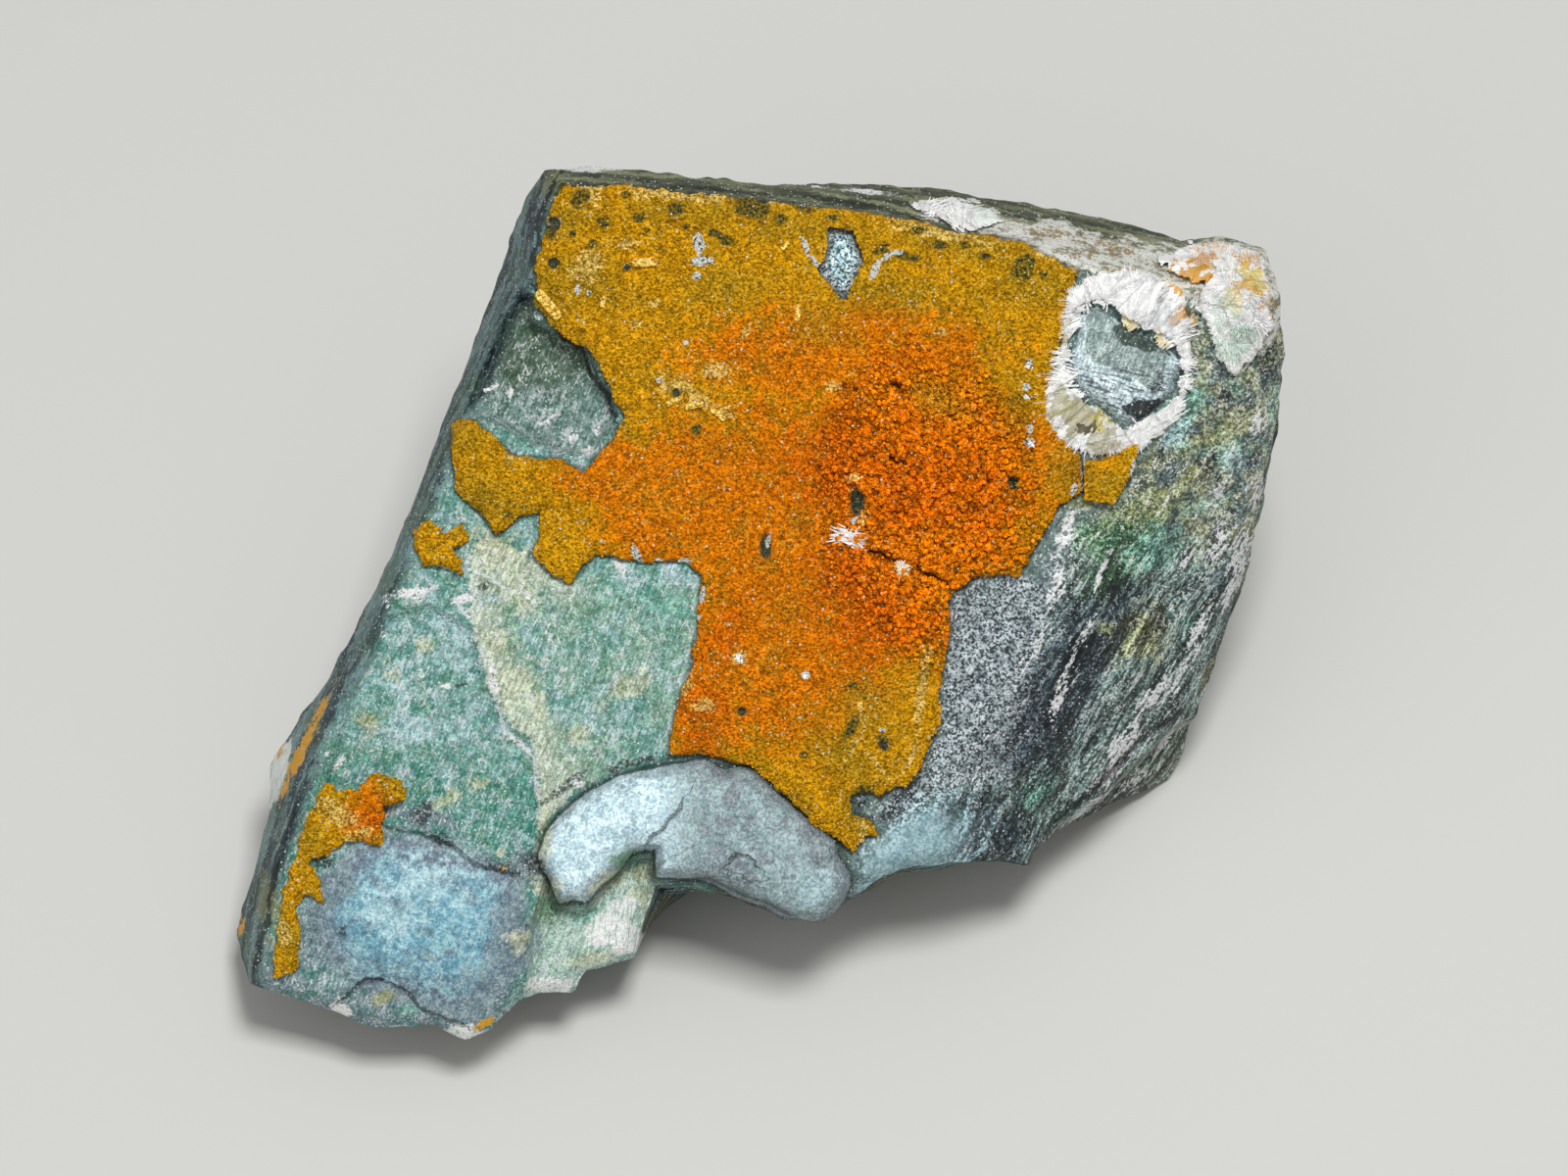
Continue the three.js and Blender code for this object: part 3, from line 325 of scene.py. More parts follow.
crustPaint = dict(
    bare=[
        (-0.84, 27.09, 1.54, 0.84, -15), (-6.3, 27.02, 0.7, 0.56, 30), (-11.41, 26.04, 0.56, 0.56, 0),
        (-13.16, 27.72, 0.77, 0.7, 40), (-8.96, 26.46, 0.49, 0.42, 0), (2.8, 27.16, 1.05, 0.35, -20),
        (18.55, 22.89, 1.12, 0.77, 40), (14.35, 24.5, 0.42, 0.35, 0), (19.88, 22.4, 0.35, 0.28, 0),
        (8.4, 24.22, 0.63, 0.42, 20), (10.22, 23.66, 1.05, 0.35, -10), (12.46, 24.5, 0.84, 0.35, -15),
        (-2.66, 24.78, 0.91, 0.35, -30), (-15.26, 25.34, 0.42, 0.7, 20), (-14.91, 23.1, 0.35, 0.42, 0),
        (-4.83, 11.2, 0.42, 0.49, 0), (-18.34, 5.32, 0.42, 0.35, 0), (-18.2, 6.16, 0.21, 0.28, 0),
        (-17.15, 5.74, 0.21, 0.21, 0), (8.4, -10.92, 0.56, 0.49, 0), (6.16, -9.94, 1.12, 0.42, 60),
        (7, -14.84, 0.98, 0.7, 45), (17.78, 7.35, 0.42, 0.49, 0), (-13.72, 25.2, 0.28, 0.28, 0),
        (-9.8, 28, 0.35, 0.28, 0), (-12.25, 24.5, 0.35, 0.42, 0), (-5.6, 25.76, 0.35, 0.28, 0),
        (-3.64, 25.34, 0.42, 0.35, 0), (4.9, 26.46, 0.7, 0.28, 0), (15.75, 23.66, 0.56, 0.28, 0),
        (21.7, 23.24, 0.98, 0.21, -12), (8.75, -14.7, 0.35, 0.28, 0), (10.92, 25.55, 0.63, 0.28, 0),
        (-8.4, 25.48, 0.28, 0.21, 0), (-14.35, 28.7, 0.84, 0.28, 40), (1.05, 26.32, 0.56, 0.42, 0),
        (6.58, 6.16, 0.49, 0.98, -10), (0.21, 3.08, 0.28, 0.98, 10), (6.3, -7, 0.35, 0.28, 0),
        (2.8, -11.9, 0.35, 0.28, 0),
    ],
    bright=[
        (-4.69, 24.64, 0.42, 0.77, 10), (-4.48, 23.31, 0.84, 0.35, 5), (-4.83, 22.26, 0.35, 0.28, 0),
        (2.94, 24.36, 0.7, 0.21, -75), (3.78, 23.1, 0.84, 0.21, -50), (7.91, 22.75, 0.77, 0.28, 65),
        (8.75, 23.66, 0.63, 0.21, 35), (9.52, 23.94, 0.42, 0.18, 10), (-13.3, 21.28, 0.42, 0.21, 80),
        (-12.53, 21.07, 0.21, 0.21, 0), (2.94, -6.16, 0.35, 0.28, 0), (18.9, 10.36, 0.35, 0.35, 0),
        (18.9, 16.1, 0.28, 0.28, 0), (18.69, 14.35, 0.28, 0.28, 0), (18.9, 11.34, 0.28, 0.42, 0),
        (-9.17, 2.45, 0.91, 0.28, -65), (-7.42, 1.54, 0.7, 0.35, -70), (-5.88, 1.68, 0.63, 0.42, 30),
        (0.28, 3.36, 0.7, 0.18, 80), (6.4, 4.85, 0.4, 0.14, 50), (-4.41, -0.42, 0.7, 0.21, 80),
        (-4.9, -2.1, 0.42, 0.21, 0), (22.68, 8.26, 2.1, 0.11, 88), (26.25, 8.54, 0.7, 0.14, 80),
        (8.4, -10.15, 0.28, 0.21, 0), (-5.6, 17.5, 0.21, 0.21, 0), (-7.56, 14.84, 0.28, 0.21, 0),
        (22.05, 7, 0.56, 0.21, 70),
    ],
    pale=[
        (-6.3, 14.35, 1.82, 0.84, -20), (-4.76, 13.3, 0.98, 0.7, 0), (-3.15, 12.6, 1.12, 0.42, -10),
        (-12.6, 22.96, 1.68, 1.12, 70), (-5.6, 28, 4.9, 0.49, -3), (12.6, 25.34, 4.2, 0.56, -12),
        (0, 27.65, 2.1, 0.35, -5), (11.27, -7, 3.92, 0.42, 82), (-1.75, -4.9, 0.7, 0.63, 0),
        (-3.64, 15.54, 1.26, 0.7, 0), (-12.6, 28, 1.54, 0.84, 30), (20.65, 23.66, 1.68, 0.35, -12),
        (6.44, 7.84, 0.63, 0.28, 10), (7, 4.9, 0.28, 0.84, -30), (-30.45, -16.1, 1.82, 0.84, -30),
        (-28.6, -17.4, 0.8, 0.5, 20), (-29.4, -18.2, 0.84, 0.56, -40), (-34.3, -24.5, 0.56, 1.12, 15),
        (-4.2, -8.4, 0.84, 0.56, 0), (-5.6, -7, 1.12, 0.42, 60), (7, -9.1, 1.12, 0.21, -80),
        (6.44, -11.2, 1.4, 0.18, 60), (8.05, -12.6, 1.54, 0.18, -50), (7, -17.5, 1.12, 0.35, 80),
        (10.5, -11.9, 1.54, 0.28, 60), (4.9, 14.35, 0.7, 0.35, 0), (12.6, 18.2, 0.56, 0.35, 0),
        (-9.1, 18.9, 0.56, 0.35, 0), (-1.4, 18.2, 0.84, 0.28, 60), (-9.8, 24.5, 0.98, 0.42, 0),
        (-7.84, 20.3, 0.56, 0.35, 0), (-18.2, 9.1, 0.42, 0.56, 0),
    ],
    olive=[
        (-20.3, 6.3, 3.08, 2.1, -20), (-21, 10.5, 1.82, 1.4, 0), (-15.4, 21, 1.82, 3.5, 60),
        (-13.3, 26.6, 2.8, 1.68, 20), (5.6, -11.9, 3.08, 1.82, -30), (7, -16.1, 2.1, 2.1, 0),
        (14, 24.5, 6.3, 1.4, -12), (-5.6, 26.95, 6.3, 1.26, -2), (3.5, 25.55, 5.6, 1.4, -6),
        (21.7, 8.4, 1.82, 2.1, 0), (18.2, 13.3, 2.8, 1.82, 80), (-12.6, 21.7, 1.68, 3.5, 60),
        (19.6, 21.7, 4.2, 2.1, -10), (7, -8.4, 2.1, 2.8, 60), (24.5, 7.35, 2.1, 1.12, 0),
        (-26.6, -14, 1.4, 0.98, 0), (-32.55, -18.2, 1.4, 1.82, 0), (-33.95, -25.2, 1.4, 3.22, 10),
        (8.4, 21, 4.2, 1.82, 0), (12.6, 13.3, 2.8, 1.4, -30), (4.2, 18.9, 2.8, 2.1, 0),
        (-2.8, 21.7, 4.2, 1.4, 0),
    ],
    deep=[
        (7, 4.2, 13.3, 9.1, -20), (1.4, -2.8, 7.7, 8.4, 0), (11.2, 9.8, 10.5, 6.3, -10),
        (-4.2, -7, 2.8, 6.3, 0), (-1.4, 7, 8.4, 6.3, 0), (5.6, 16.8, 10.5, 3.5, 0),
        (-5.6, 4.2, 6.3, 3.5, 0), (-28.35, -16.1, 1.82, 2.52, 0), (-11.2, 8.4, 4.2, 2.8, 0),
    ],
    red=[
        (-4.4, -9, 3, 4.4, 10), (-2.8, -3.5, 2.2, 3.9, -10), (8.4, -2.8, 4.9, 4.2, 20),
        (11.2, 7, 7.7, 5.6, -20), (4.9, 9.1, 6.3, 4.2, 0), (-28, -16.45, 1.12, 1.68, 0),
        (5.6, 0.7, 3.5, 3.5, 0),
    ],
)
cracks = [
    [(-27.02, -17.08), (-24.5, -17.5), (-22.26, -18.34), (-20.65, -19.74), (-18.2, -20.3)],
    [(-8.4, -18.34), (-8.1, -17.7), (-7.2, -17.2), (-6.9, -16.6), (-6.3, -16.2), (-5.9, -15.5)],
    [(-2.4, -19.3), (-2.0, -18.9), (-1.2, -19.1), (-0.7, -19.6)],
    [(-30.1, -29.4), (-28.56, -28), (-27.16, -28), (-25.55, -28.84), (-24.5, -30.1), (-21.7, -31.15)],
    [(-6.2, -21), (-3.9, -20.7), (-2.7, -21.3), (-1.4, -22), (0.1, -22.4), (1.6, -23.2)],
    [(-9.8, 29.26), (-5.6, 28.7), (-1.4, 28.35), (3.5, 28), (8.4, 27.3)],
]
# Dark lines: cracks and streaks, and painted shadow along the crust's top-left edge and along the hollow's
# right wall
cracksAndShadowLines = [
    [(-15, 29), (-15.9, 26.9), (-16.1, 24.8), (-16.7, 23.2)],
    [(20.8, -16.9), (23.1, -15.2), (24.5, -13.9), (27.5, -10.8), (30.4, -9)],
    [(-16.3, 21.3), (-14.6, 18.2), (-13, 17.1), (-12.3, 15.3), (-11.2, 13.7), (-10.8, 12.4)],
    [(-34.9, -19), (-35.4, -23), (-36.4, -27)],
    [(-33.6, -16), (-34.5, -18.2)],
]
whiteLines = [
    [
        (-21.9, -1.1), (-20.9, -2.6), (-20.3, -4.2), (-19.7, -6.2), (-19.1, -8.4), (-18.6, -10.1),
        (-17.6, -10.9),
    ],
    [(-17.6, -10.9), (-16.5, -11.9), (-16.2, -13.8), (-16.15, -16.4)],
    [(-23.2, 1.6), (-20.6, 1.2), (-18.8, 0.2)],
    [(-10.6, 2.1), (-9.9, 0.4)],
    [(-14.9, -2.2), (-15.6, -4.4)],
]


# Surface of the rock, the same as in the solids

def ease(t):
    return t * t * (3 - 2 * t)


def smoothStep(value, low, high):
    return ease(np.clip((value - low) / (high - low), 0, 1))


def lumps(x, y, z, size):
    x, y, z = (part / size for part in np.broadcast_arrays(np.asarray(x, float), y, z))
    ix, iy, iz = np.floor(x), np.floor(y), np.floor(z)
    fx, fy, fz = ease(x - ix), ease(y - iy), ease(z - iz)

    def corner(i, j, k):
        n = np.sin((ix + i) * 127.1 + (iy + j) * 311.7 + (iz + k) * 74.7) * 43758.5453
        return 2 * (n - np.floor(n)) - 1

    def row(j, k):
        return corner(0, j, k) * (1 - fx) + corner(1, j, k) * fx

    def sheet(k):
        return row(0, k) * (1 - fy) + row(1, k) * fy

    return sheet(0) * (1 - fz) + sheet(1) * fz


def depthInside(outline, x, y):
    nearest = np.full(np.shape(x), 1e9)
    inside = np.zeros(np.shape(x), bool)
    for (ax, ay), (bx, by) in zip(outline, outline[1:] + outline[:1]):
        dx, dy = bx - ax, by - ay
        along = np.clip(((x - ax) * dx + (y - ay) * dy) / (dx * dx + dy * dy), 0, 1)
        nearest = np.minimum(nearest, np.hypot(x - ax - along * dx, y - ay - along * dy))
        if ay != by:
            inside ^= ((ay > y) != (by > y)) & (x < dx * (y - ay) / dy + ax)
    return np.where(inside, nearest, -nearest)


def patchesAt(x, y, patches):
    field = np.full(np.shape(x), -1.0)
    for across, up, long, wide, angle in patches:
        turn = math.radians(angle)
        dx, dy = x - across, y - up
        along, aside = dx * math.cos(turn) + dy * math.sin(turn), dy * math.cos(turn) - dx * math.sin(turn)
        field = np.maximum(field, 1 - np.hypot(along / long, aside / wide))
    return field


def sideOfLines(lines, x, y):
    nearest = np.full(np.shape(x), 5.0)
    for line in lines:
        for (ax, ay), (bx, by) in zip(line, line[1:]):
            dx, dy = bx - ax, by - ay
            along = np.clip(((x - ax) * dx + (y - ay) * dy) / (dx * dx + dy * dy), 0, 1)
            far = np.hypot(x - ax - along * dx, y - ay - along * dy)
            side = np.where(dx * (y - ay) - dy * (x - ax) > 0, 1, -1)
            nearest = np.where(far < np.abs(nearest), far * side, nearest)
    return nearest


def swayed(x, y):
    return x + 0.28 * lumps(x, y, 11, 1.5), y + 0.28 * lumps(x, y, 12, 1.5)


def faceHeightAt(x, y):
    sway = 0.5 * np.sin(x / 9 + 0.6) * np.cos(y / 11) - 0.25 * np.sin((x + y) / 5)
    left = np.maximum(0, depthInside(leftWall, x, y)) * 2.2
    top = np.maximum(0, depthInside(topWall, x, y)) * 1.5
    past = np.maximum(0, depthInside(rightSlope, x, y))
    rimDepth = np.maximum(0, depthInside(rim, x, y))
    rounding = 1.1 * np.maximum(0, 1 - rimDepth / 1.4) ** 2
    return sway - np.minimum(left + top, 9) - past * (0.34 + 0.034 * past) - rounding


def rockHeightAt(x, y):
    height = faceHeightAt(x, y)
    for outline, rise, run in ledges:
        height = height + rise * smoothStep(depthInside(outline, x, y), 0, run)
    wavyX, wavyY = swayed(x, y)
    (roll, rollRise, rollRun), (lump, lumpRise, lumpRun) = swellings
    outer = 1 - np.clip(depthInside(roll, wavyX, wavyY) / rollRun, 0, 1)
    height = height + rollRise * np.sqrt(1 - outer ** 2)
    return height + lumpRise * smoothStep(depthInside(lump, wavyX, wavyY), -0.5, lumpRun)


def drawnToEdges(x, y, reach):
    step = 0.05
    free = np.ones(x.shape, bool)
    for outline, _, run in ledges:
        depth = depthInside(outline, x, y)
        near = free & (np.abs(depth) < reach)
        slopeX = (depthInside(outline, x + step, y) - depth) / step
        slopeY = (depthInside(outline, x, y + step) - depth) / step
        move = np.where(depth > 0, min(run, reach), 0) - depth
        x, y = np.where(near, x + slopeX * move, x), np.where(near, y + slopeY * move, y)
        free &= ~near
    return x, y


def traced(points, share):
    points = np.array(points, float)
    lengths = np.concatenate([[0], np.cumsum(np.hypot(*np.diff(points, axis=0).T))])
    return np.stack([np.interp(share * lengths[-1], lengths, points[:, i]) for i in (0, 1)])


def patchBetween(left, bottom, right, top, a, b):
    across = traced(bottom, a) * (1 - b) + traced(top, a) * b
    upward = traced(left, b) * (1 - a) + traced(right, b) * a
    corners = [np.array(p, float)[:, None] for p in (bottom[0], bottom[-1], top[0], top[-1])]
    flat = (corners[0] * (1 - a) + corners[1] * a) * (1 - b) + (corners[2] * (1 - a) + corners[3] * a) * b
    return across + upward - flat


# Mesh helpers

def meshFrom(bm, name):
    mesh = bpy.data.meshes.new(name)
    bm.to_mesh(mesh)
    bm.free()
    return mesh


def readValues(mesh, name):
    values = np.empty(len(mesh.vertices), np.float32)
    mesh.attributes[name].data.foreach_get("value", values)
    return values.astype(float)


def writeValues(mesh, name, values):
    layer = mesh.attributes.get(name) or mesh.attributes.new(name, "FLOAT", "POINT")
    layer.data.foreach_set("value", np.asarray(values, np.float32))


def writeVectors(mesh, name, values):
    layer = mesh.attributes.new(name, "FLOAT_VECTOR", "POINT")
    layer.data.foreach_set("vector", np.asarray(values, np.float32).ravel())


def places(mesh):
    co = np.empty(len(mesh.vertices) * 3, np.float32)
    mesh.vertices.foreach_get("co", co)
    return co.reshape(-1, 3).astype(float)


def movePlaces(mesh, co):
    mesh.vertices.foreach_set("co", np.asarray(co, np.float32).ravel())
    mesh.update()


def finishPiece(name, mesh, material, replaced=(), sharp=45):
    mesh.shade_smooth()
    mesh.set_sharp_from_angle(angle=math.radians(sharp))
    piece = bpy.data.objects.new(name, mesh)
    bpy.context.scene.collection.objects.link(piece)
    mesh.materials.clear()
    mesh.materials.append(material)
    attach(piece, "root")
    if replaced:
        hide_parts(*replaced)
    return piece


# Shader helpers

def tint(red, green, blue):
    shares = [part / 255 for part in (red, green, blue)]
    linear = [s / 12.92 if s <= 0.04045 else ((s + 0.055) / 1.055) ** 2.4 for s in shares]
    return (*linear, 1)


def feed(tree, socket, value):
    if isinstance(value, bpy.types.NodeSocket):
        tree.links.new(value, socket)
    else:
        socket.default_value = value


def addNode(tree, kind, inputs=None, **settings):
    node = tree.nodes.new("ShaderNode" + kind)
    for name, value in settings.items():
        setattr(node, name, value)
    for name, value in (inputs or {}).items():
        feed(tree, node.inputs[name], value)
    return node


def calc(tree, operation, first, second=0.0, third=0.0):
    return addNode(tree, "Math", {0: first, 1: second, 2: third}, operation=operation).outputs[0]


def mixed(tree, share, first, second):
    return addNode(tree, "Mix", {0: share, 6: first, 7: second}, data_type="RGBA").outputs[2]


def chosen(tree, share, first, second):
    return addNode(tree, "Mix", {0: share, 2: first, 3: second}, data_type="FLOAT").outputs[0]


def both(tree, first, second):
    return calc(tree, "MULTIPLY", first, second)


def without(tree, mask):
    return calc(tree, "SUBTRACT", 1.0, mask)


def over(tree, colour, mask, paint, strength=1.0):
    return mixed(tree, both(tree, mask, strength) if strength != 1 else mask, colour, paint)


def blend(tree, first, share, second):
    return calc(tree, "MULTIPLY_ADD", first, share, calc(tree, "MULTIPLY", second, 1 - share))


def fade(tree, value, low, high, fromValue=0.0, toValue=1.0):
    node = addNode(tree, "MapRange", {0: value, 1: low, 2: high, 3: fromValue, 4: toValue},
                   interpolation_type="SMOOTHSTEP")
    return node.outputs[0]


def contrast(tree, noise, spread, dark, light):
    return fade(tree, noise, 0.5 - spread, 0.5 + spread, dark, light)


def facePlace(tree):
    place = addNode(tree, "TexCoord").outputs["Object"]
    shift = tuple(-(faceShift @ faceTurn))
    return addNode(tree, "Mapping", {
        "Vector": place, "Location": shift, "Rotation": (-tilt, 0, 0), "Scale": (metre,) * 3,
    }).outputs[0]


def noiseAt(tree, place, size, detail=2.0, roughness=0.55):
    return addNode(tree, "TexNoise", {
        "Vector": place, "Scale": 1 / size, "Detail": detail, "Roughness": roughness,
    }).outputs["Fac"]


def newGroup(name, inputs, outputs):
    group = bpy.data.node_groups.new(name, "ShaderNodeTree")
    for socket, (kind, value) in inputs.items():
        made = group.interface.new_socket(socket, in_out="INPUT", socket_type="NodeSocket" + kind)
        made.default_value = value
    for socket, kind in outputs.items():
        group.interface.new_socket(socket, in_out="OUTPUT", socket_type="NodeSocket" + kind)
    return group, group.nodes.new("NodeGroupInput"), group.nodes.new("NodeGroupOutput")


def useGroup(tree, group, **inputs):
    node = tree.nodes.new("ShaderNodeGroup")
    node.node_tree = group
    for name, value in inputs.items():
        feed(tree, node.inputs[name], value)
    return node


def newMaterial(name):
    material = bpy.data.materials.new(name)
    material.use_nodes = True
    tree = material.node_tree
    return material, tree, tree.nodes["Principled BSDF"]


# Shared effects: a soft-edged round spot, scattered glints, and grains with their relief

def spotGroup():
    group, given, out = newGroup("roundSpot", {
        "across": ("Float", 0.0), "up": ("Float", 0.0), "radius": ("Float", 1.0), "ragged": ("Float", 0.3),
    }, {"mask": "Float"})
    place = facePlace(group)
    parts = addNode(group, "SeparateXYZ", {0: place})
    dx = calc(group, "SUBTRACT", parts.outputs[0], given.outputs["across"])
    dy = calc(group, "SUBTRACT", parts.outputs[1], given.outputs["up"])
    far = calc(group, "SQRT", calc(group, "ADD", both(group, dx, dx), both(group, dy, dy)))
    rough = calc(group, "SUBTRACT", noiseAt(group, place, 0.8, 3), 0.5)
    rough = both(group, both(group, rough, given.outputs["ragged"]), 2)
    share = calc(group, "DIVIDE", calc(group, "ADD", far, rough), given.outputs["radius"])
    group.links.new(fade(group, share, 1.0, 0.55), out.inputs["mask"])
    return group


def glintGroup():
    group, given, out = newGroup("glints", {
        "density": ("Float", 3.0), "share": ("Float", 0.1), "width": ("Float", 0.3),
    }, {"mask": "Float"})
    width = given.outputs["width"]
    cells = addNode(group, "TexVoronoi", {"Vector": facePlace(group), "Scale": given.outputs["density"]})
    pick = addNode(group, "SeparateColor", {0: cells.outputs["Color"]}).outputs[0]
    picked = calc(group, "LESS_THAN", pick, given.outputs["share"])
    close = fade(group, cells.outputs["Distance"], width, both(group, width, 0.6))
    group.links.new(both(group, picked, close), out.inputs["mask"])
    return group


def grainGroup():
    group, given, out = newGroup("grains", {"density": ("Float", 4.0)}, {"tone": "Float", "height": "Float"})
    place, density = facePlace(group), given.outputs["density"]
    cells = addNode(group, "TexVoronoi", {"Vector": place, "Scale": density})
    finer = addNode(group, "TexVoronoi", {"Vector": place, "Scale": both(group, density, 2.3)})
    pick = addNode(group, "SeparateColor", {0: cells.outputs["Color"]}).outputs[1]
    height = both(group, cells.outputs["Distance"], -1)
    height = calc(group, "MULTIPLY_ADD", finer.outputs["Distance"], -0.4, height)
    group.links.new(pick, out.inputs["tone"])
    group.links.new(height, out.inputs["height"])
    return group


def streakGroup():
    group, given, out = newGroup("streaks", {
        "turn": ("Vector", (0, 0, 0)), "width": ("Float", 0.3), "length": ("Float", 3.0),
    }, {"value": "Float"})
    turned = addNode(group, "Mapping", {"Vector": facePlace(group), "Rotation": given.outputs["turn"]})
    parts = addNode(group, "SeparateXYZ", {0: turned.outputs[0]})
    stretched = {
        i: calc(group, "DIVIDE", parts.outputs[i], given.outputs[side])
        for i, side in enumerate(("length", "width", "width"))
    }
    joined = addNode(group, "CombineXYZ", stretched).outputs[0]
    group.links.new(noiseAt(group, joined, 1.0, 3, 0.6), out.inputs["value"])
    return group


roundSpot, glints, grains, streaks = spotGroup(), glintGroup(), grainGroup(), streakGroup()


def spot(tree, across, up, radius, ragged=0.3):
    return useGroup(tree, roundSpot, across=across, up=up, radius=radius, ragged=ragged).outputs[0]


def streak(tree, angle, width, length):
    return useGroup(tree, streaks, turn=(0, 0, -math.radians(angle)), width=width, length=length).outputs[0]


def stored(tree, name):
    return addNode(tree, "Attribute", attribute_name=name).outputs["Fac"]


# The rock

rockLook = dict(
    teal=tint(120, 168, 158), tealLow=tint(94, 152, 138), sage=tint(140, 178, 156),
    step=tint(206, 216, 192), hollowTop=tint(84, 108, 88), hollowLow=tint(104, 136, 128),
    slope=tint(112, 132, 128), silver=tint(140, 152, 156), foot=tint(148, 178, 184),
    footGrey=tint(88, 110, 116), rollPale=tint(206, 232, 240), rollGrey=tint(160, 182, 184),
    rollRim=tint(112, 120, 128), knob=tint(134, 180, 196), knobGrey=tint(122, 134, 146),
    under=tint(176, 204, 190), plate=tint(154, 172, 168), plateEdge=tint(76, 90, 84),
    plateBlue=tint(214, 232, 236), plateDark=tint(54, 60, 60), green=tint(84, 130, 88),
    aqua=tint(116, 174, 158), olive=tint(148, 152, 100), dark=tint(30, 36, 40),
    white=tint(236, 242, 242), spark=tint(255, 255, 255), pure=tint(252, 253, 250),
    bluePale=tint(176, 206, 212), slate=tint(116, 136, 144), cream=tint(204, 206, 166),
    stain=tint(236, 170, 20), wallDark=tint(32, 48, 54), wallPale=tint(122, 152, 152),
    topDark=tint(52, 60, 46), topPale=tint(146, 152, 114), bandCream=tint(234, 236, 228),
    bandGrey=tint(146, 148, 126), bandTan=tint(154, 122, 66), crack=tint(14, 18, 18),
    beige=tint(160, 164, 128), mint=tint(150, 192, 174), ink=tint(58, 74, 88),
    edgeOlive=tint(92, 104, 84),
)


def rockNoises(tree):
    place = facePlace(tree)
    elsewhere = addNode(tree, "VectorMath", {0: place, 1: (31, 17, 5)}, operation="ADD").outputs[0]
    parts = addNode(tree, "SeparateXYZ", {0: place})
    at = SimpleNamespace(across=parts.outputs[0], upward=parts.outputs[1])
    at.broad, at.cloudy = noiseAt(tree, place, 3.5, 3), noiseAt(tree, elsewhere, 1.5, 4, 0.65)
    at.middle, at.fine = noiseAt(tree, place, 1.0, 5, 0.7), noiseAt(tree, place, 0.34, 3, 0.7)
    at.grit = noiseAt(tree, place, 0.19, 2, 0.6)
    at.bands, at.threads = streak(tree, 58, 1.6, 6.0), streak(tree, 58, 0.3, 1.8)
    at.mottle, at.speckle = blend(tree, at.middle, 0.5, at.fine), blend(tree, at.fine, 0.45, at.grit)
    at.slopeStreak = blend(tree, at.threads, 0.6, at.fine)
    small = calc(tree, "SUBTRACT", at.fine, 0.5)
    at.rough = calc(tree, "MULTIPLY_ADD", calc(tree, "SUBTRACT", at.middle, 0.5), 3.0, small)
    return at


def frayed(tree, at, mask, amount):
    return calc(tree, "MULTIPLY_ADD", at.rough, amount, mask)


def zone(tree, at, name, soft=0.12, amount=0.5):
    return fade(tree, frayed(tree, at, stored(tree, name), amount), -soft, soft)


def painted(tree, at, name, amount=0.8, low=0.1, high=0.5):
    return fade(tree, frayed(tree, at, stored(tree, name), amount), low, high)


def rockMasks(tree):
    at = rockNoises(tree)
    at.onSlope = fade(tree, stored(tree, "rightSlope"), -0.8, 0.6)
    at.onLeft = fade(tree, at.across, -3.0, -4.5)
    at.inPanel, at.inHollow = zone(tree, at, "rightPanel", 0.1, 0.5), zone(tree, at, "hollow", 0.3, 0.4)
    at.inSilver, at.inFoot = zone(tree, at, "silver", 0.7, 2.2), zone(tree, at, "paleFoot", 1.0, 1.8)
    at.inWindow, at.inBand = zone(tree, at, "window", 0.3, 0.4), zone(tree, at, "darkBand", 0.9, 1.3)
    at.inRoll, at.inKnob = zone(tree, at, "roll", 0.1, 0.12), zone(tree, at, "knob", 0.9, 1.3)
    at.deepHollow = fade(tree, calc(tree, "MULTIPLY_ADD", at.broad, 6, at.upward), 18.5, 15.5)
    smooth = fade(tree, frayed(tree, at, stored(tree, "smooth"), 0.4), -0.3, 0.5)
    swollen = calc(tree, "MAXIMUM", both(tree, at.inKnob, 0.7), both(tree, at.inRoll, 0.75))
    at.calm = calc(tree, "MAXIMUM", smooth, swollen)
    return at


# Flat colours, region by region

def slopeColours(tree, at):
    look = rockLook
    colour = over(tree, look["slope"], at.inSilver, look["silver"])
    greyFoot = fade(tree, frayed(tree, at, at.across, 3.0), 12.0, 16.5)
    colour = over(tree, colour, at.inFoot, mixed(tree, greyFoot, look["foot"], look["footGrey"]))
    upperSlope = both(tree, at.onSlope, fade(tree, frayed(tree, at, at.upward, 1.5), 0.0, 5.0))
    beige, mint = fade(tree, at.cloudy, 0.42, 0.54), fade(tree, at.broad, 0.5, 0.6)
    colour = over(tree, colour, both(tree, upperSlope, beige), look["beige"], 0.8)
    colour = over(tree, colour, both(tree, upperSlope, mint), look["mint"], 0.7)
    return over(tree, colour, at.inBand, look["ink"], 0.75)


def leftColours(tree, at, colour):
    look = rockLook
    leftTone = mixed(tree, fade(tree, at.upward, -10.5, -14.5), look["teal"], look["tealLow"])
    colour = over(tree, colour, at.onLeft, leftTone)
    panelTone = mixed(tree, fade(tree, at.broad, 0.35, 0.65), look["sage"], look["teal"])
    colour = over(tree, colour, at.inPanel, panelTone)
    paleClouds, greenClouds = fade(tree, at.cloudy, 0.53, 0.62), fade(tree, at.cloudy, 0.46, 0.38)
    colour = over(tree, colour, both(tree, at.onLeft, paleClouds), look["bluePale"], 0.6)
    colour = over(tree, colour, both(tree, at.onLeft, greenClouds), look["green"], 0.4)
    besideStep = fade(tree, stored(tree, "rightPanel"), 3.4, 0.2)
    besideStep = both(tree, besideStep, fade(tree, at.across, -11.0, -15.0))
    colour = over(tree, colour, both(tree, at.inPanel, besideStep), look["step"], 0.85)
    hollowTone = mixed(tree, at.deepHollow, look["hollowTop"], look["hollowLow"])
    colour = over(tree, colour, at.inHollow, hollowTone)
    return over(tree, colour, zone(tree, at, "underRoll", 0.2, 0.6), look["under"])


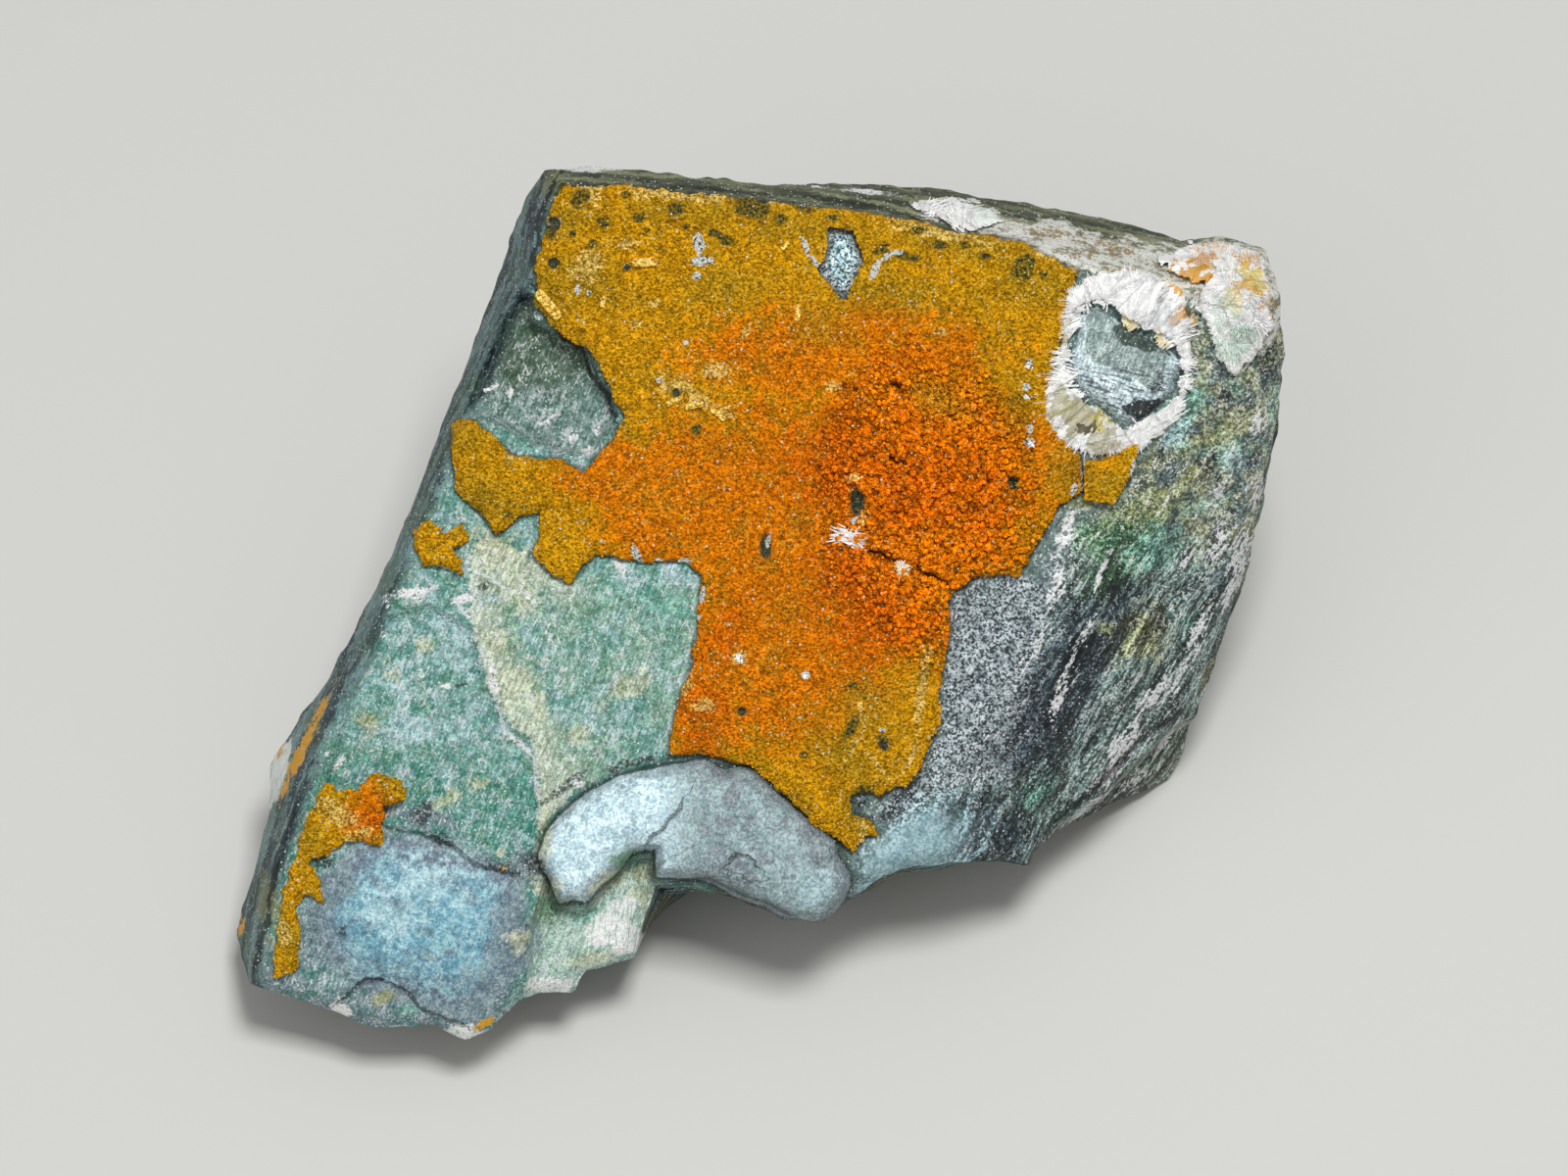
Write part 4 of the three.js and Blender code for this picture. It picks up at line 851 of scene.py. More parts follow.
def swellingColours(tree, at, colour):
    look = rockLook
    greySide = fade(tree, frayed(tree, at, at.across, 1.5), -8.0, -4.5)
    rollTone = mixed(tree, greySide, look["rollPale"], look["rollGrey"])
    rollClouds = fade(tree, blend(tree, at.cloudy, 0.5, at.middle), 0.48, 0.54)
    rollClouds = both(tree, rollClouds, fade(tree, at.across, -7, -3))
    rollTone = over(tree, rollTone, rollClouds, look["rollRim"], 0.75)
    # painted shade: the roll turns grey towards its rounded rim; rollRim is also the grey of its clouds above
    rollRimShade = fade(tree, frayed(tree, at, stored(tree, "roll"), 0.5), 1.1, 0.0, 0, 0.6)
    colour = over(tree, colour, at.inRoll, mixed(tree, rollRimShade, rollTone, look["rollRim"]))
    nearKnobRim = fade(tree, frayed(tree, at, stored(tree, "knob"), 2.2), 3.2, 0.2)
    knobClouds = calc(tree, "MAXIMUM", nearKnobRim, fade(tree, at.cloudy, 0.54, 0.62, 0, 0.6))
    knobTone = mixed(tree, knobClouds, look["knob"], look["knobGrey"])
    knobTone = over(tree, knobTone, fade(tree, at.middle, 0.5, 0.6), look["aqua"], 0.3)
    colour = over(tree, colour, at.inKnob, knobTone)
    lowerEdgeZone = both(tree, zone(tree, at, "lowerEdge", 0.3, 0.8), at.onSlope)
    return over(tree, colour, lowerEdgeZone, look["edgeOlive"], 0.75)


def tintedPatches(tree, at, colour):
    strengths = dict(slate=0.9, green=0.85, aqua=0.75, olive=0.8, bluePale=0.6, cream=0.6)
    for name, strength in strengths.items():
        low = -0.5 if name == "slate" else -0.2
        colour = over(tree, colour, painted(tree, at, name, 1.1, low, 0.6), rockLook[name], strength)
    return colour


def chipColours(tree, at, colour):
    look = rockLook
    tone = mixed(tree, zone(tree, at, "chipPlate", 0.08, 0.25), look["plateBlue"], look["plate"])
    lowStreak = fade(tree, streak(tree, -18, 0.16, 1.2), 0.5, 0.58)
    lowStreak = both(tree, lowStreak, fade(tree, at.upward, 16.2, 15.2))
    tone = over(tree, tone, lowStreak, look["plateDark"], 0.8)
    tone = over(tree, tone, zone(tree, at, "chipBand", 0.08, 0.3), look["plateEdge"])
    tone = over(tree, tone, zone(tree, at, "chipSpot", 0.08, 0.5), look["plateDark"])
    return over(tree, colour, zone(tree, at, "chip", 0.1, 0.2), tone)


def windowColours(tree, at, colour):
    middle = fade(tree, stored(tree, "window"), 0.2, 0.9)
    return over(tree, colour, at.inWindow, mixed(tree, middle, rockLook["silver"], rockLook["bluePale"]))


# Light and dark within each region: mottling, strokes, streaks down the slope, pepper; then white sparkle,
# which is painted highlight

def lightAndDark(tree, at, colour):
    at.strokes = blend(tree, streak(tree, 68, 0.17, 0.9), 0.6, at.grit)
    left = contrast(tree, at.mottle, 0.08, 0.72, 1.28)
    left = both(tree, left, contrast(tree, at.strokes, 0.08, 0.68, 1.36))
    upper = contrast(tree, at.mottle, 0.08, 0.48, 1.5)
    upper = both(tree, upper, contrast(tree, at.speckle, 0.08, 0.6, 1.4))
    upper = both(tree, upper, contrast(tree, at.cloudy, 0.1, 0.75, 1.25))
    lower = contrast(tree, at.slopeStreak, 0.08, 0.34, 1.7)
    lower = both(tree, lower, contrast(tree, at.speckle, 0.08, 0.5, 1.5))
    lower = both(tree, lower, contrast(tree, at.bands, 0.08, 0.36, 1.6))
    slope = chosen(tree, fade(tree, at.upward, 7, 0), upper, lower)
    slope = both(tree, slope, fade(tree, at.inBand, 0.0, 1.0, 1.0, 0.72))
    pepper = contrast(tree, at.speckle, 0.06, 0.16, 1.85)
    pepper = both(tree, pepper, contrast(tree, at.middle, 0.1, 0.7, 1.3))
    calmTone = contrast(tree, at.speckle, 0.1, 0.68, 1.24)
    calmTone = both(tree, calmTone, contrast(tree, at.middle, 0.1, 0.82, 1.16))
    tone = chosen(tree, at.onSlope, left, slope)
    tone = chosen(tree, calc(tree, "MAXIMUM", at.inSilver, at.inWindow), tone, pepper)
    tone = chosen(tree, both(tree, at.calm, 0.85), tone, calmTone)
    pale = fade(tree, at.mottle, 0.38, 0.62, 1.25, 0.85)
    shaded = addNode(tree, "HueSaturation", {"Color": colour, "Value": tone, "Saturation": pale})
    return shaded.outputs[0]


def whiteSparkle(tree, at, colour):
    look = rockLook
    # painted highlights: whitish sparkle in clusters, white on the left and pure white on the slope, kept off
    # the calm parts
    crowded = fade(tree, blend(tree, at.cloudy, 0.5, at.middle), 0.46, 0.56, 0.12, 1.0)
    left = both(tree, fade(tree, at.strokes, 0.56, 0.63), crowded)
    slope = fade(tree, blend(tree, at.threads, 0.5, at.grit), 0.53, 0.6)
    slope = both(tree, slope, fade(tree, blend(tree, at.bands, 0.5, at.middle), 0.45, 0.55, 0.15, 1.0))
    sparkle = chosen(tree, at.onSlope, left, slope)
    sparkle = both(tree, sparkle, without(tree, both(tree, at.calm, 0.9)))
    sparkle = both(tree, sparkle, fade(tree, at.inBand, 0.0, 1.0, 1.0, 0.45))
    colour = over(tree, colour, sparkle, mixed(tree, at.onSlope, look["white"], look["spark"]), 0.9)
    fibre = calc(tree, "MAXIMUM", streak(tree, 64, 0.17, 1.4), streak(tree, 112, 0.17, 1.1))
    fibre = calc(tree, "MAXIMUM", fibre, both(tree, streak(tree, 20, 0.16, 1.0), 0.96))
    fibres = both(tree, fade(tree, fibre, 0.57, 0.65), fade(tree, at.middle, 0.44, 0.55))
    matt = without(tree, calc(tree, "MAXIMUM", at.inRoll, at.calm))
    at.fibres = both(tree, fibres, both(tree, at.onLeft, matt))
    colour = over(tree, colour, at.fibres, look["white"], 0.85)
    silk = fade(tree, blend(tree, streak(tree, 66, 0.2, 1.8), 0.6, at.fine), 0.48, 0.56)
    silk = both(tree, silk, fade(tree, at.cloudy, 0.44, 0.56, 0.1, 1.0))
    return over(tree, colour, both(tree, silk, both(tree, at.inHollow, at.deepHollow)), look["white"], 0.62)


# Patches that cover the texture

def coveringPatches(tree, at, colour):
    look = rockLook
    dark = painted(tree, at, "dark", 0.9, -0.05, 0.45)
    dark = both(tree, dark, fade(tree, at.speckle, 0.58, 0.48, 0.3, 1.0))
    colour = over(tree, colour, dark, look["dark"], 0.85)
    torn = both(tree, calc(tree, "SUBTRACT", at.slopeStreak, 0.5), at.onSlope)
    broken = calc(tree, "MULTIPLY_ADD", torn, 7.0, both(tree, at.rough, 0.8))
    white = fade(tree, calc(tree, "ADD", broken, stored(tree, "white")), 0.1, 0.5)
    whiteTone = mixed(tree, fade(tree, at.speckle, 0.4, 0.5), look["slope"], look["spark"])
    colour = over(tree, colour, white, whiteTone, 0.95)
    pureStreak = fade(tree, streak(tree, 82, 0.2, 1.6), 0.36, 0.5)
    pureTone = mixed(tree, pureStreak, look["under"], look["pure"])
    colour = over(tree, colour, painted(tree, at, "pure", 0.45, 0.0, 0.25), pureTone, 0.95)
    line = fade(tree, calc(tree, "ABSOLUTE", frayed(tree, at, stored(tree, "whiteLine"), 0.3)), 0.2, 0.06)
    line = both(tree, line, fade(tree, blend(tree, at.fine, 0.5, at.middle), 0.44, 0.52, 0.1, 1.0))
    colour = over(tree, colour, line, look["white"], 0.85)
    return over(tree, colour, painted(tree, at, "stain", 0.6, 0.1, 0.4), look["stain"], 0.95)


# Walls, in thin layers that follow the edge

def wallColours(tree, at, colour):
    look = rockLook
    layer = frayed(tree, at, stored(tree, "layer"), 0.3)
    layers = addNode(tree, "CombineXYZ", {
        0: both(tree, layer, 1.9), 1: both(tree, at.across, 0.09), 2: both(tree, at.upward, 0.14),
    })
    at.stripes = noiseAt(tree, layers.outputs[0], 1.0, 4, 0.75)
    left = mixed(tree, fade(tree, at.stripes, 0.42, 0.6), look["wallDark"], look["wallPale"])
    left = over(tree, left, fade(tree, at.broad, 0.46, 0.6), look["hollowTop"], 0.6)
    darkThreads = fade(tree, blend(tree, at.speckle, 0.5, at.stripes), 0.5, 0.44)
    left = over(tree, left, darkThreads, look["wallDark"], 0.6)
    left = over(tree, left, fade(tree, at.speckle, 0.56, 0.62), look["bluePale"], 0.35)
    left = over(tree, left, painted(tree, at, "olive"), look["olive"], 0.5)
    top = mixed(tree, fade(tree, at.stripes, 0.42, 0.62), look["topDark"], look["topPale"])
    covered = calc(tree, "MAXIMUM", painted(tree, at, "stain"), painted(tree, at, "pure", 0.45, 0.0, 0.25))
    covered = calc(tree, "MAXIMUM", painted(tree, at, "white"), covered)
    down = stored(tree, "down")
    bare = without(tree, both(tree, covered, fade(tree, down, 0.4, 0.25)))
    for name, start, end, tone in [("leftWall", -1.1, 0.1, left), ("topWall", -1.3, 0.0, top)]:
        past = fade(tree, frayed(tree, at, stored(tree, name), 0.5), start, end)
        colour = over(tree, colour, both(tree, past, bare), tone)
    wall = mixed(tree, fade(tree, at.broad, 0.4, 0.6), left, top)
    flecks = both(tree, fade(tree, at.speckle, 0.56, 0.64), fade(tree, at.middle, 0.4, 0.56))
    wall = over(tree, wall, flecks, look["white"], 0.5)
    return over(tree, colour, both(tree, fade(tree, down, 0.0, 0.03), bare), wall)


def bandColours(tree, at, colour):
    look = rockLook
    creamStreak = blend(tree, streak(tree, -12, 0.5, 1.8), 0.5, at.middle)
    tone = mixed(tree, fade(tree, creamStreak, 0.42, 0.52), look["bandGrey"], look["bandCream"])
    tanClouds = fade(tree, blend(tree, at.cloudy, 0.5, at.fine), 0.53, 0.58)
    tone = over(tree, tone, tanClouds, look["bandTan"], 0.85)
    tone = over(tree, tone, fade(tree, at.speckle, 0.42, 0.36), look["dark"], 0.75)
    return over(tree, colour, zone(tree, at, "creamBand", 0.3, 1.2), tone, 0.95)


# Cracks, and painted shade: a shadow line beside the roll, shade around the roll and shade along the crust's
# edge

def crackAndShadeColours(tree, at, colour):
    look = rockLook
    at.crack = calc(tree, "ABSOLUTE", frayed(tree, at, stored(tree, "crack"), 0.2))
    thin = both(tree, fade(tree, at.crack, 0.08, 0.03), fade(tree, at.fine, 0.38, 0.52, 0.25, 1.0))
    crackAndShadowLine = calc(tree, "ABSOLUTE", frayed(tree, at, stored(tree, "crackAndShadowLine"), 0.45))
    lines = calc(tree, "MAXIMUM", thin, fade(tree, crackAndShadowLine, 0.34, 0.1))
    # painted shadow: a thin dark line just outside the roll's left part, where it stands proud of the panel
    besideRoll = calc(tree, "ABSOLUTE", calc(tree, "ADD", stored(tree, "roll"), 0.1))
    rollContactShadow = both(tree, fade(tree, besideRoll, 0.16, 0.06), fade(tree, at.across, -1, -5))
    lines = calc(tree, "MAXIMUM", lines, both(tree, rollContactShadow, 0.6))
    # the near-black crack colour goes on the cracks, on the painted shadow of shaded edges, and on the roll's
    # shadow line
    colour = over(tree, colour, lines, look["crack"], 0.85)
    # painted shade on the rock just outside the roll
    rollEdgeShade = fade(tree, frayed(tree, at, stored(tree, "roll"), 0.3), -0.9, -0.1)
    rollEdgeShade = both(tree, rollEdgeShade, fade(tree, stored(tree, "roll"), 0.05, -0.05))
    colour = over(tree, colour, rollEdgeShade, look["dark"], 0.6)
    # painted shade on the rock just outside the crust's edge, except in the window
    shade = fade(tree, frayed(tree, at, stored(tree, "crust"), 0.1), -0.35, -0.05, 0, 0.55)
    shade = both(tree, shade, fade(tree, stored(tree, "window"), 0.3, 0.0))
    return over(tree, colour, shade, look["dark"])


def rockRelief(tree, at):
    grain = useGroup(tree, grains, density=5.5)
    relief = calc(tree, "MULTIPLY_ADD", grain.outputs["height"], 0.3, at.fine)
    relief = calc(tree, "MULTIPLY_ADD", at.fibres, 0.2, relief)
    relief = calc(tree, "MULTIPLY_ADD", both(tree, at.slopeStreak, at.onSlope), 2.0, relief)
    relief = both(tree, relief, without(tree, both(tree, at.calm, 0.75)))
    onWall = fade(tree, stored(tree, "layer"), 0.0, 0.5, 0, 2.0)
    relief = calc(tree, "MULTIPLY_ADD", at.stripes, onWall, relief)
    return calc(tree, "MULTIPLY_ADD", fade(tree, at.crack, 0.2, 0.04), -1.2, relief)


def rockMaterial():
    material, tree, shader = newMaterial("serpentinite")
    at = rockMasks(tree)
    colour = slopeColours(tree, at)
    coats = [
        leftColours, swellingColours, tintedPatches, chipColours, windowColours, lightAndDark,
        whiteSparkle, coveringPatches, wallColours, bandColours, crackAndShadeColours,
    ]
    for coat in coats:
        colour = coat(tree, at, colour)
    # painted glints: scattered white points, kept off the calm parts
    glint = useGroup(tree, glints, density=4.2, share=0.2, width=0.34).outputs[0]
    colour = over(tree, colour, both(tree, glint, without(tree, at.calm)), rockLook["white"], 0.85)
    feed(tree, shader.inputs["Base Color"], colour)
    feed(tree, shader.inputs["Roughness"], fade(tree, at.middle, 0.3, 0.7, 0.45, 0.7))
    shader.inputs["Specular IOR Level"].default_value = 0.35
    bump = addNode(tree, "Bump", {"Height": rockRelief(tree, at), "Strength": 0.9, "Distance": 0.0003})
    feed(tree, shader.inputs["Normal"], bump.outputs[0])
    return material


rock = dict(
    cellsAcross=204, cellsUp=168, wallRows=60, wallLayers=26, footDepth=1.0, snapReach=0.22,
    faceRoughness=0.16, slopeGrain=54, wallRoughness=0.9, wallLump=7,
)
gridNames = ("a", "b", "down")  # share across, share up, share down the wall
wallShares = [0, 0.1, 0.13, 0.3, 0.34, 0.55, 0.59, 0.79, 0.83, 1]
wallStands = [0, 0.5, 1.6, 2, 0.8, 1.4, 2.8, 2.2, 0.9, 0]


def rockGrid():
    bm = bmesh.new()
    layers = [bm.verts.layers.float.new(name) for name in gridNames]
    bmesh.ops.create_grid(bm, x_segments=rock["cellsAcross"], y_segments=rock["cellsUp"], size=0.5)
    for vert in bm.verts:
        vert[layers[0]], vert[layers[1]] = vert.co.x + 0.5, vert.co.y + 0.5
    edge = [e for e in bm.edges if e.is_boundary]
    for row in range(rock["wallRows"]):
        made = bmesh.ops.extrude_edge_only(bm, edges=edge)["geom"]
        for vert in (g for g in made if isinstance(g, bmesh.types.BMVert)):
            vert[layers[2]] = (row + 1) / rock["wallRows"]
        edge = [g for g in made if isinstance(g, bmesh.types.BMEdge) and g.is_boundary]
    bmesh.ops.recalc_face_normals(bm, faces=bm.faces)
    return meshFrom(bm, "serpentiniteRock")


def roughnessAt(x, y):
    past = np.clip(depthInside(rightSlope, x, y), 0, 4) / 4
    turn = math.radians(rock["slopeGrain"])
    along, aside = x * math.cos(turn) + y * math.sin(turn), y * math.cos(turn) - x * math.sin(turn)
    onRoll, onFoot = depthInside(rimRoll, x, y), depthInside(paleFoot, x, y)
    smoothZone = np.maximum(smoothStep(onRoll, 0, 0.8), smoothStep(onFoot, -1, 1))
    rough = rock["faceRoughness"] * lumps(x, y, 3, 2.6)
    rough += (0.06 * lumps(x, y, 5, 0.9) + 0.04 * lumps(x, y, 8, 0.45)) * (1 - 0.8 * smoothZone)
    rough += past * 0.3 * lumps(along / 5, aside, 2, 1.1) * (1 - smoothZone)
    rough += past * 0.15 * lumps(along / 3, aside, 6, 0.6) * (1 - smoothZone)
    return rough


def rockFront(a, b):
    onRim = (a < 1e-5) | (a > 1 - 1e-5) | (b < 1e-5) | (b > 1 - 1e-5)
    x, y = patchBetween(rimLeft, rimBottom, rimRight, rimTop, a, b)
    snappedX, snappedY = drawnToEdges(x, y, rock["snapReach"])
    x, y = np.where(onRim, x, snappedX), np.where(onRim, y, snappedY)
    nearRim = np.exp(-np.maximum(depthInside(rim, x, y), 0) / 0.9)
    x = x + nearRim * (0.22 * lumps(x, y, 21, 1.7) + 0.12 * lumps(x, y, 22, 0.7))
    y = y + nearRim * (0.22 * lumps(x, y, 23, 1.7) + 0.12 * lumps(x, y, 24, 0.7))
    inner = np.clip(depthInside(rim, x, y) / 1.5, 0, 1)
    return np.stack([x, y, rockHeightAt(x, y) + roughnessAt(x, y) * inner], axis=1)


def rockWall(front, a, b, down):
    footX, footY = patchBetween(footLeft, footBottom, footRight, footTop, a, b)
    foot = np.stack([footX, footY, np.full(len(a), -rock["footDepth"])], axis=1)
    wall = front + (foot - front) * down[:, None]
    outwards = np.stack([wall[:, 0], wall[:, 1] - 2, np.zeros(len(a))], axis=1)
    outwards /= np.linalg.norm(outwards, axis=1, keepdims=True)
    shown = 0.2 + 0.8 * smoothStep(outwards[:, 1], -0.8, 0.4)
    uneven = 0.7 + 0.3 * lumps(wall[:, 0], wall[:, 1], 0, 12)
    stands = np.interp(down, wallShares, wallStands) * shown * uneven
    arch = np.sin(math.pi * down)
    stands += rock["wallRoughness"] * lumps(*wall.T, rock["wallLump"]) * arch
    layer = down * rock["wallLayers"] + 0.4 * lumps(*wall.T, 4)
    sheets = 0.35 * lumps(wall[:, 0] / 6, wall[:, 1] / 6, layer, 1.0)
    stands += (sheets + 0.22 * lumps(*wall.T, 1.9) + 0.1 * lumps(*wall.T, 0.8)) * np.clip(arch * 5, 0, 1)
    wall += outwards * stands[:, None]
    wall[down == 0] = front[down == 0]
    return wall


def cutFlat(mesh):
    bm = bmesh.new()
    bm.from_mesh(mesh)
    whole = bm.verts[:] + bm.edges[:] + bm.faces[:]
    made = bmesh.ops.bisect_plane(bm, geom=whole, plane_co=(0, 0, 0), plane_no=(0, 0, 1), clear_inner=True)
    cut = [g for g in made["geom_cut"] if isinstance(g, bmesh.types.BMEdge)]
    bmesh.ops.holes_fill(bm, edges=cut, sides=0)
    bmesh.ops.triangulate(bm, faces=[f for f in bm.faces if len(f.verts) > 4])
    bmesh.ops.recalc_face_normals(bm, faces=bm.faces)
    print("rock: open edges", sum(e.is_boundary for e in bm.edges), "faces", len(bm.faces))
    bm.to_mesh(mesh)
    bm.free()


def paintRock(mesh):
    x, y, _ = onFace(places(mesh)).T
    zones = dict(
        rightPanel=rightPanel, hollow=hollow, chip=chip, roll=rimRoll, knob=knob, underRoll=underRoll,
        silver=silver, paleFoot=paleFoot, creamBand=creamBand, darkBand=darkBand, crust=mainCrust,
        lowerEdge=lowerEdge, leftWall=leftWall, topWall=topWall, window=crustWindow,
        rightSlope=rightSlope, chipPlate=chipPlate, chipBand=chipBand, chipSpot=chipSpot,
    )
    depths = {name: np.clip(depthInside(outline, x, y), -5, 5) for name, outline in zones.items()}
    for name in ("roll", "knob"):
        depths[name] = np.clip(depthInside(zones[name], *swayed(x, y)), -5, 5)
    for name, patches in rockPaint.items():
        depths[name] = patchesAt(x, y, patches)
    for name, lines in [("crack", cracks), ("whiteLine", whiteLines), ("crackAndShadowLine", cracksAndShadowLines)]:
        depths[name] = sideOfLines(lines, x, y)
    for name, depth in depths.items():
        writeValues(mesh, name, depth)
    past = np.maximum(0, np.maximum(depths["leftWall"], depths["topWall"]))
    writeValues(mesh, "layer", past + readValues(mesh, "down") * rock["wallLayers"])


def buildRock(material):
    mesh = rockGrid()
    a, b, down = (readValues(mesh, name) for name in gridNames)
    front = laidDown(rockFront(a, b)) * metre
    movePlaces(mesh, rockWall(front, a, b, down) / metre)
    cutFlat(mesh)
    paintRock(mesh)
    finishPiece("serpentiniteRock", mesh, material, ["serpentinite_matrix"], 40)


# Sheets of crystals

def sheetMesh(name, outline, topAt, cell, ragged=0.3, holes=(), below=0.45):
    corners = np.array(outline)
    low, high = corners.min(0) - 2 * cell - ragged, corners.max(0) + 2 * cell + ragged
    counts = np.ceil((high - low) / cell).astype(int)
    bm = bmesh.new()
    bmesh.ops.create_grid(bm, x_segments=counts[0], y_segments=counts[1], size=0.5)
    bm.verts.ensure_lookup_table()
    flat = (np.array([v.co[:2] for v in bm.verts]) + 0.5) * counts * cell + low

    def inside(x, y):
        depth = depthInside(outline, x, y)
        for hole in holes:
            depth = np.minimum(depth, -depthInside(hole, x, y))
        return depth + ragged * (0.6 * lumps(x, y, 1, 0.9) + 0.4 * lumps(x, y, 2, 0.4))

    x, y = flat.T
    depth = inside(x, y)
    step = 0.02
    slopeX, slopeY = (inside(x + step, y) - depth) / step, (inside(x, y + step) - depth) / step
    steep = np.maximum(slopeX ** 2 + slopeY ** 2, 0.3)
    near = np.abs(depth) < 0.5 * cell
    x, y = np.where(near, x - slopeX * depth / steep, x), np.where(near, y - slopeY * depth / steep, y)
    keep = depth > 0.5 * cell
    for vert, px, py in zip(bm.verts, x, y):
        vert.co = (px, py, 0)
    outer = [f for f in bm.faces if not any(keep[v.index] for v in f.verts)
             or any(depth[v.index] < -0.5 * cell for v in f.verts)]
    bmesh.ops.delete(bm, geom=outer, context="FACES")
    narrow = [v for v in bm.verts if sum(e.is_boundary for e in v.link_edges) > 2]
    bmesh.ops.delete(bm, geom=narrow, context="VERTS")
    x, y = np.array([v.co[:2] for v in bm.verts]).T
    for vert, height in zip(bm.verts, topAt(x, y, np.maximum(depthInside(outline, x, y), 0))):
        vert.co.z = height
    edge = [e for e in bm.edges if e.is_boundary]
    made = bmesh.ops.extrude_edge_only(bm, edges=edge)["geom"]
    skirt = [g for g in made if isinstance(g, bmesh.types.BMVert)]
    x, y = np.array([v.co[:2] for v in skirt]).T
    for vert, height in zip(skirt, rockHeightAt(x, y) - below):
        vert.co.z = min(height, vert.co.z - 0.05)
    rimEdges = [e for e in bm.edges if e.is_boundary]
    bmesh.ops.triangle_fill(bm, edges=rimEdges, use_beauty=False, normal=(0, 0, -1))
    bmesh.ops.recalc_face_normals(bm, faces=bm.faces)
    print(name, "open edges", sum(e.is_boundary for e in bm.edges), "faces", len(bm.faces))
    return meshFrom(bm, name)


crevices = [
    [(7.4, 2.6), (8.4, 2.4), (9.0, 1.9), (9.5, 2.0)],
    [(10.9, 1.5), (11.6, 0.9), (12.2, 0.8), (13.0, 0.3)],
    [(5.5, 14.3), (5.9, 14.6), (6.5, 14.2)],
    [(9.0, 14.5), (9.5, 14.4), (9.8, 13.9)],
    [(9, 9.3), (9.5, 8.9), (10.0, 8.9)],
]
crust = dict(
    cell=0.19, thickness=0.75, ragged=0.3, heapMiddle=(12, 6), heapSize=(8.5, 12), patchCell=0.16,
    patchRagged=0.35, leftThickness=0.6, lowThickness=0.55, flakeCell=0.14, flakeLift=1.0,
)
darkPits = [
    (-15, 26, 0.45, 0.5), (-15.1, 23.2, 0.35, 0.4), (6.6, 6.1, 0.5, 1), (17.7, 7.5, 0.4, 0.5),
    (0.1, 3, 0.4, 0.9), (-6.3, 13.9, 0.3, 0.3), (-9.8, 22.9, 0.25, 0.3), (8.6, -11.2, 0.35, 0.35),
    (-1.6, -8.8, 0.3, 0.3), (13.9, -13.3, 0.2, 0.2),
]


def pitsAt(x, y):
    total = np.zeros(np.shape(x))
    for across, up, halfWide, halfTall in darkPits:
        far = ((x - across) / halfWide) ** 2 + ((y - up) / halfTall) ** 2
        total = np.maximum(total, np.exp(-((far * (1 + 0.5 * lumps(x, y, 31, 0.4))) ** 1.5)))
    return total


def heapsAt(x, y):
    (across, up), (wide, tall) = crust["heapMiddle"], crust["heapSize"]
    far = np.sqrt(((x - across) / wide) ** 2 + ((y - up) / tall) ** 2)
    return smoothStep(far + 0.15 * lumps(x, y, 4, 2.5), 1.15, 0.55)


def crustTop(x, y, depth):
    heaps = heapsAt(x, y)
    thick = crust["thickness"] * (0.75 + 0.25 * heaps) + 0.08 * lumps(x, y, 4, 3) + 0.05 * lumps(x, y, 2, 1.1)
    thick += 0.06 * lumps(x, y, 7, 0.42) + heaps * (0.16 * lumps(x, y, 9, 0.9) + 0.12 * lumps(x, y, 5, 0.45))
    border = 0.3 + 0.7 * np.sqrt(np.clip(depth / 0.7, 0, 1))
    height = faceHeightAt(x, y) + 0.16 * lumps(x, y, 3, 2.6) + 0.12 + thick * border - 0.55 * pitsAt(x, y)
    height -= 0.35 * np.exp(-((sideOfLines(crevices, x, y) + 0.12 * lumps(x, y, 14, 0.5)) / 0.2) ** 2)
    return np.maximum(height, rockHeightAt(x, y) + 0.24)


def paintCrust(mesh, x, y, tone=0.5):
    for name, patches in crustPaint.items():
        writeValues(mesh, name, patchesAt(x, y, patches))
    writeValues(mesh, "pit", pitsAt(x, y))
    writeValues(mesh, "crevice", sideOfLines(crevices, x, y))
    writeValues(mesh, "heap", heapsAt(x, y))
    writeValues(mesh, "tone", np.broadcast_to(tone, np.shape(x)))


crustLook = dict(
    ochre=tint(226, 164, 10), orange=tint(240, 135, 0), red=tint(226, 98, 0), olive=tint(172, 142, 28),
    bare=tint(60, 64, 46), pitGrey=tint(112, 116, 92), silver=tint(244, 246, 240),
    pale=tint(232, 200, 108), glint=tint(255, 228, 130), shadow=tint(84, 34, 0),
)


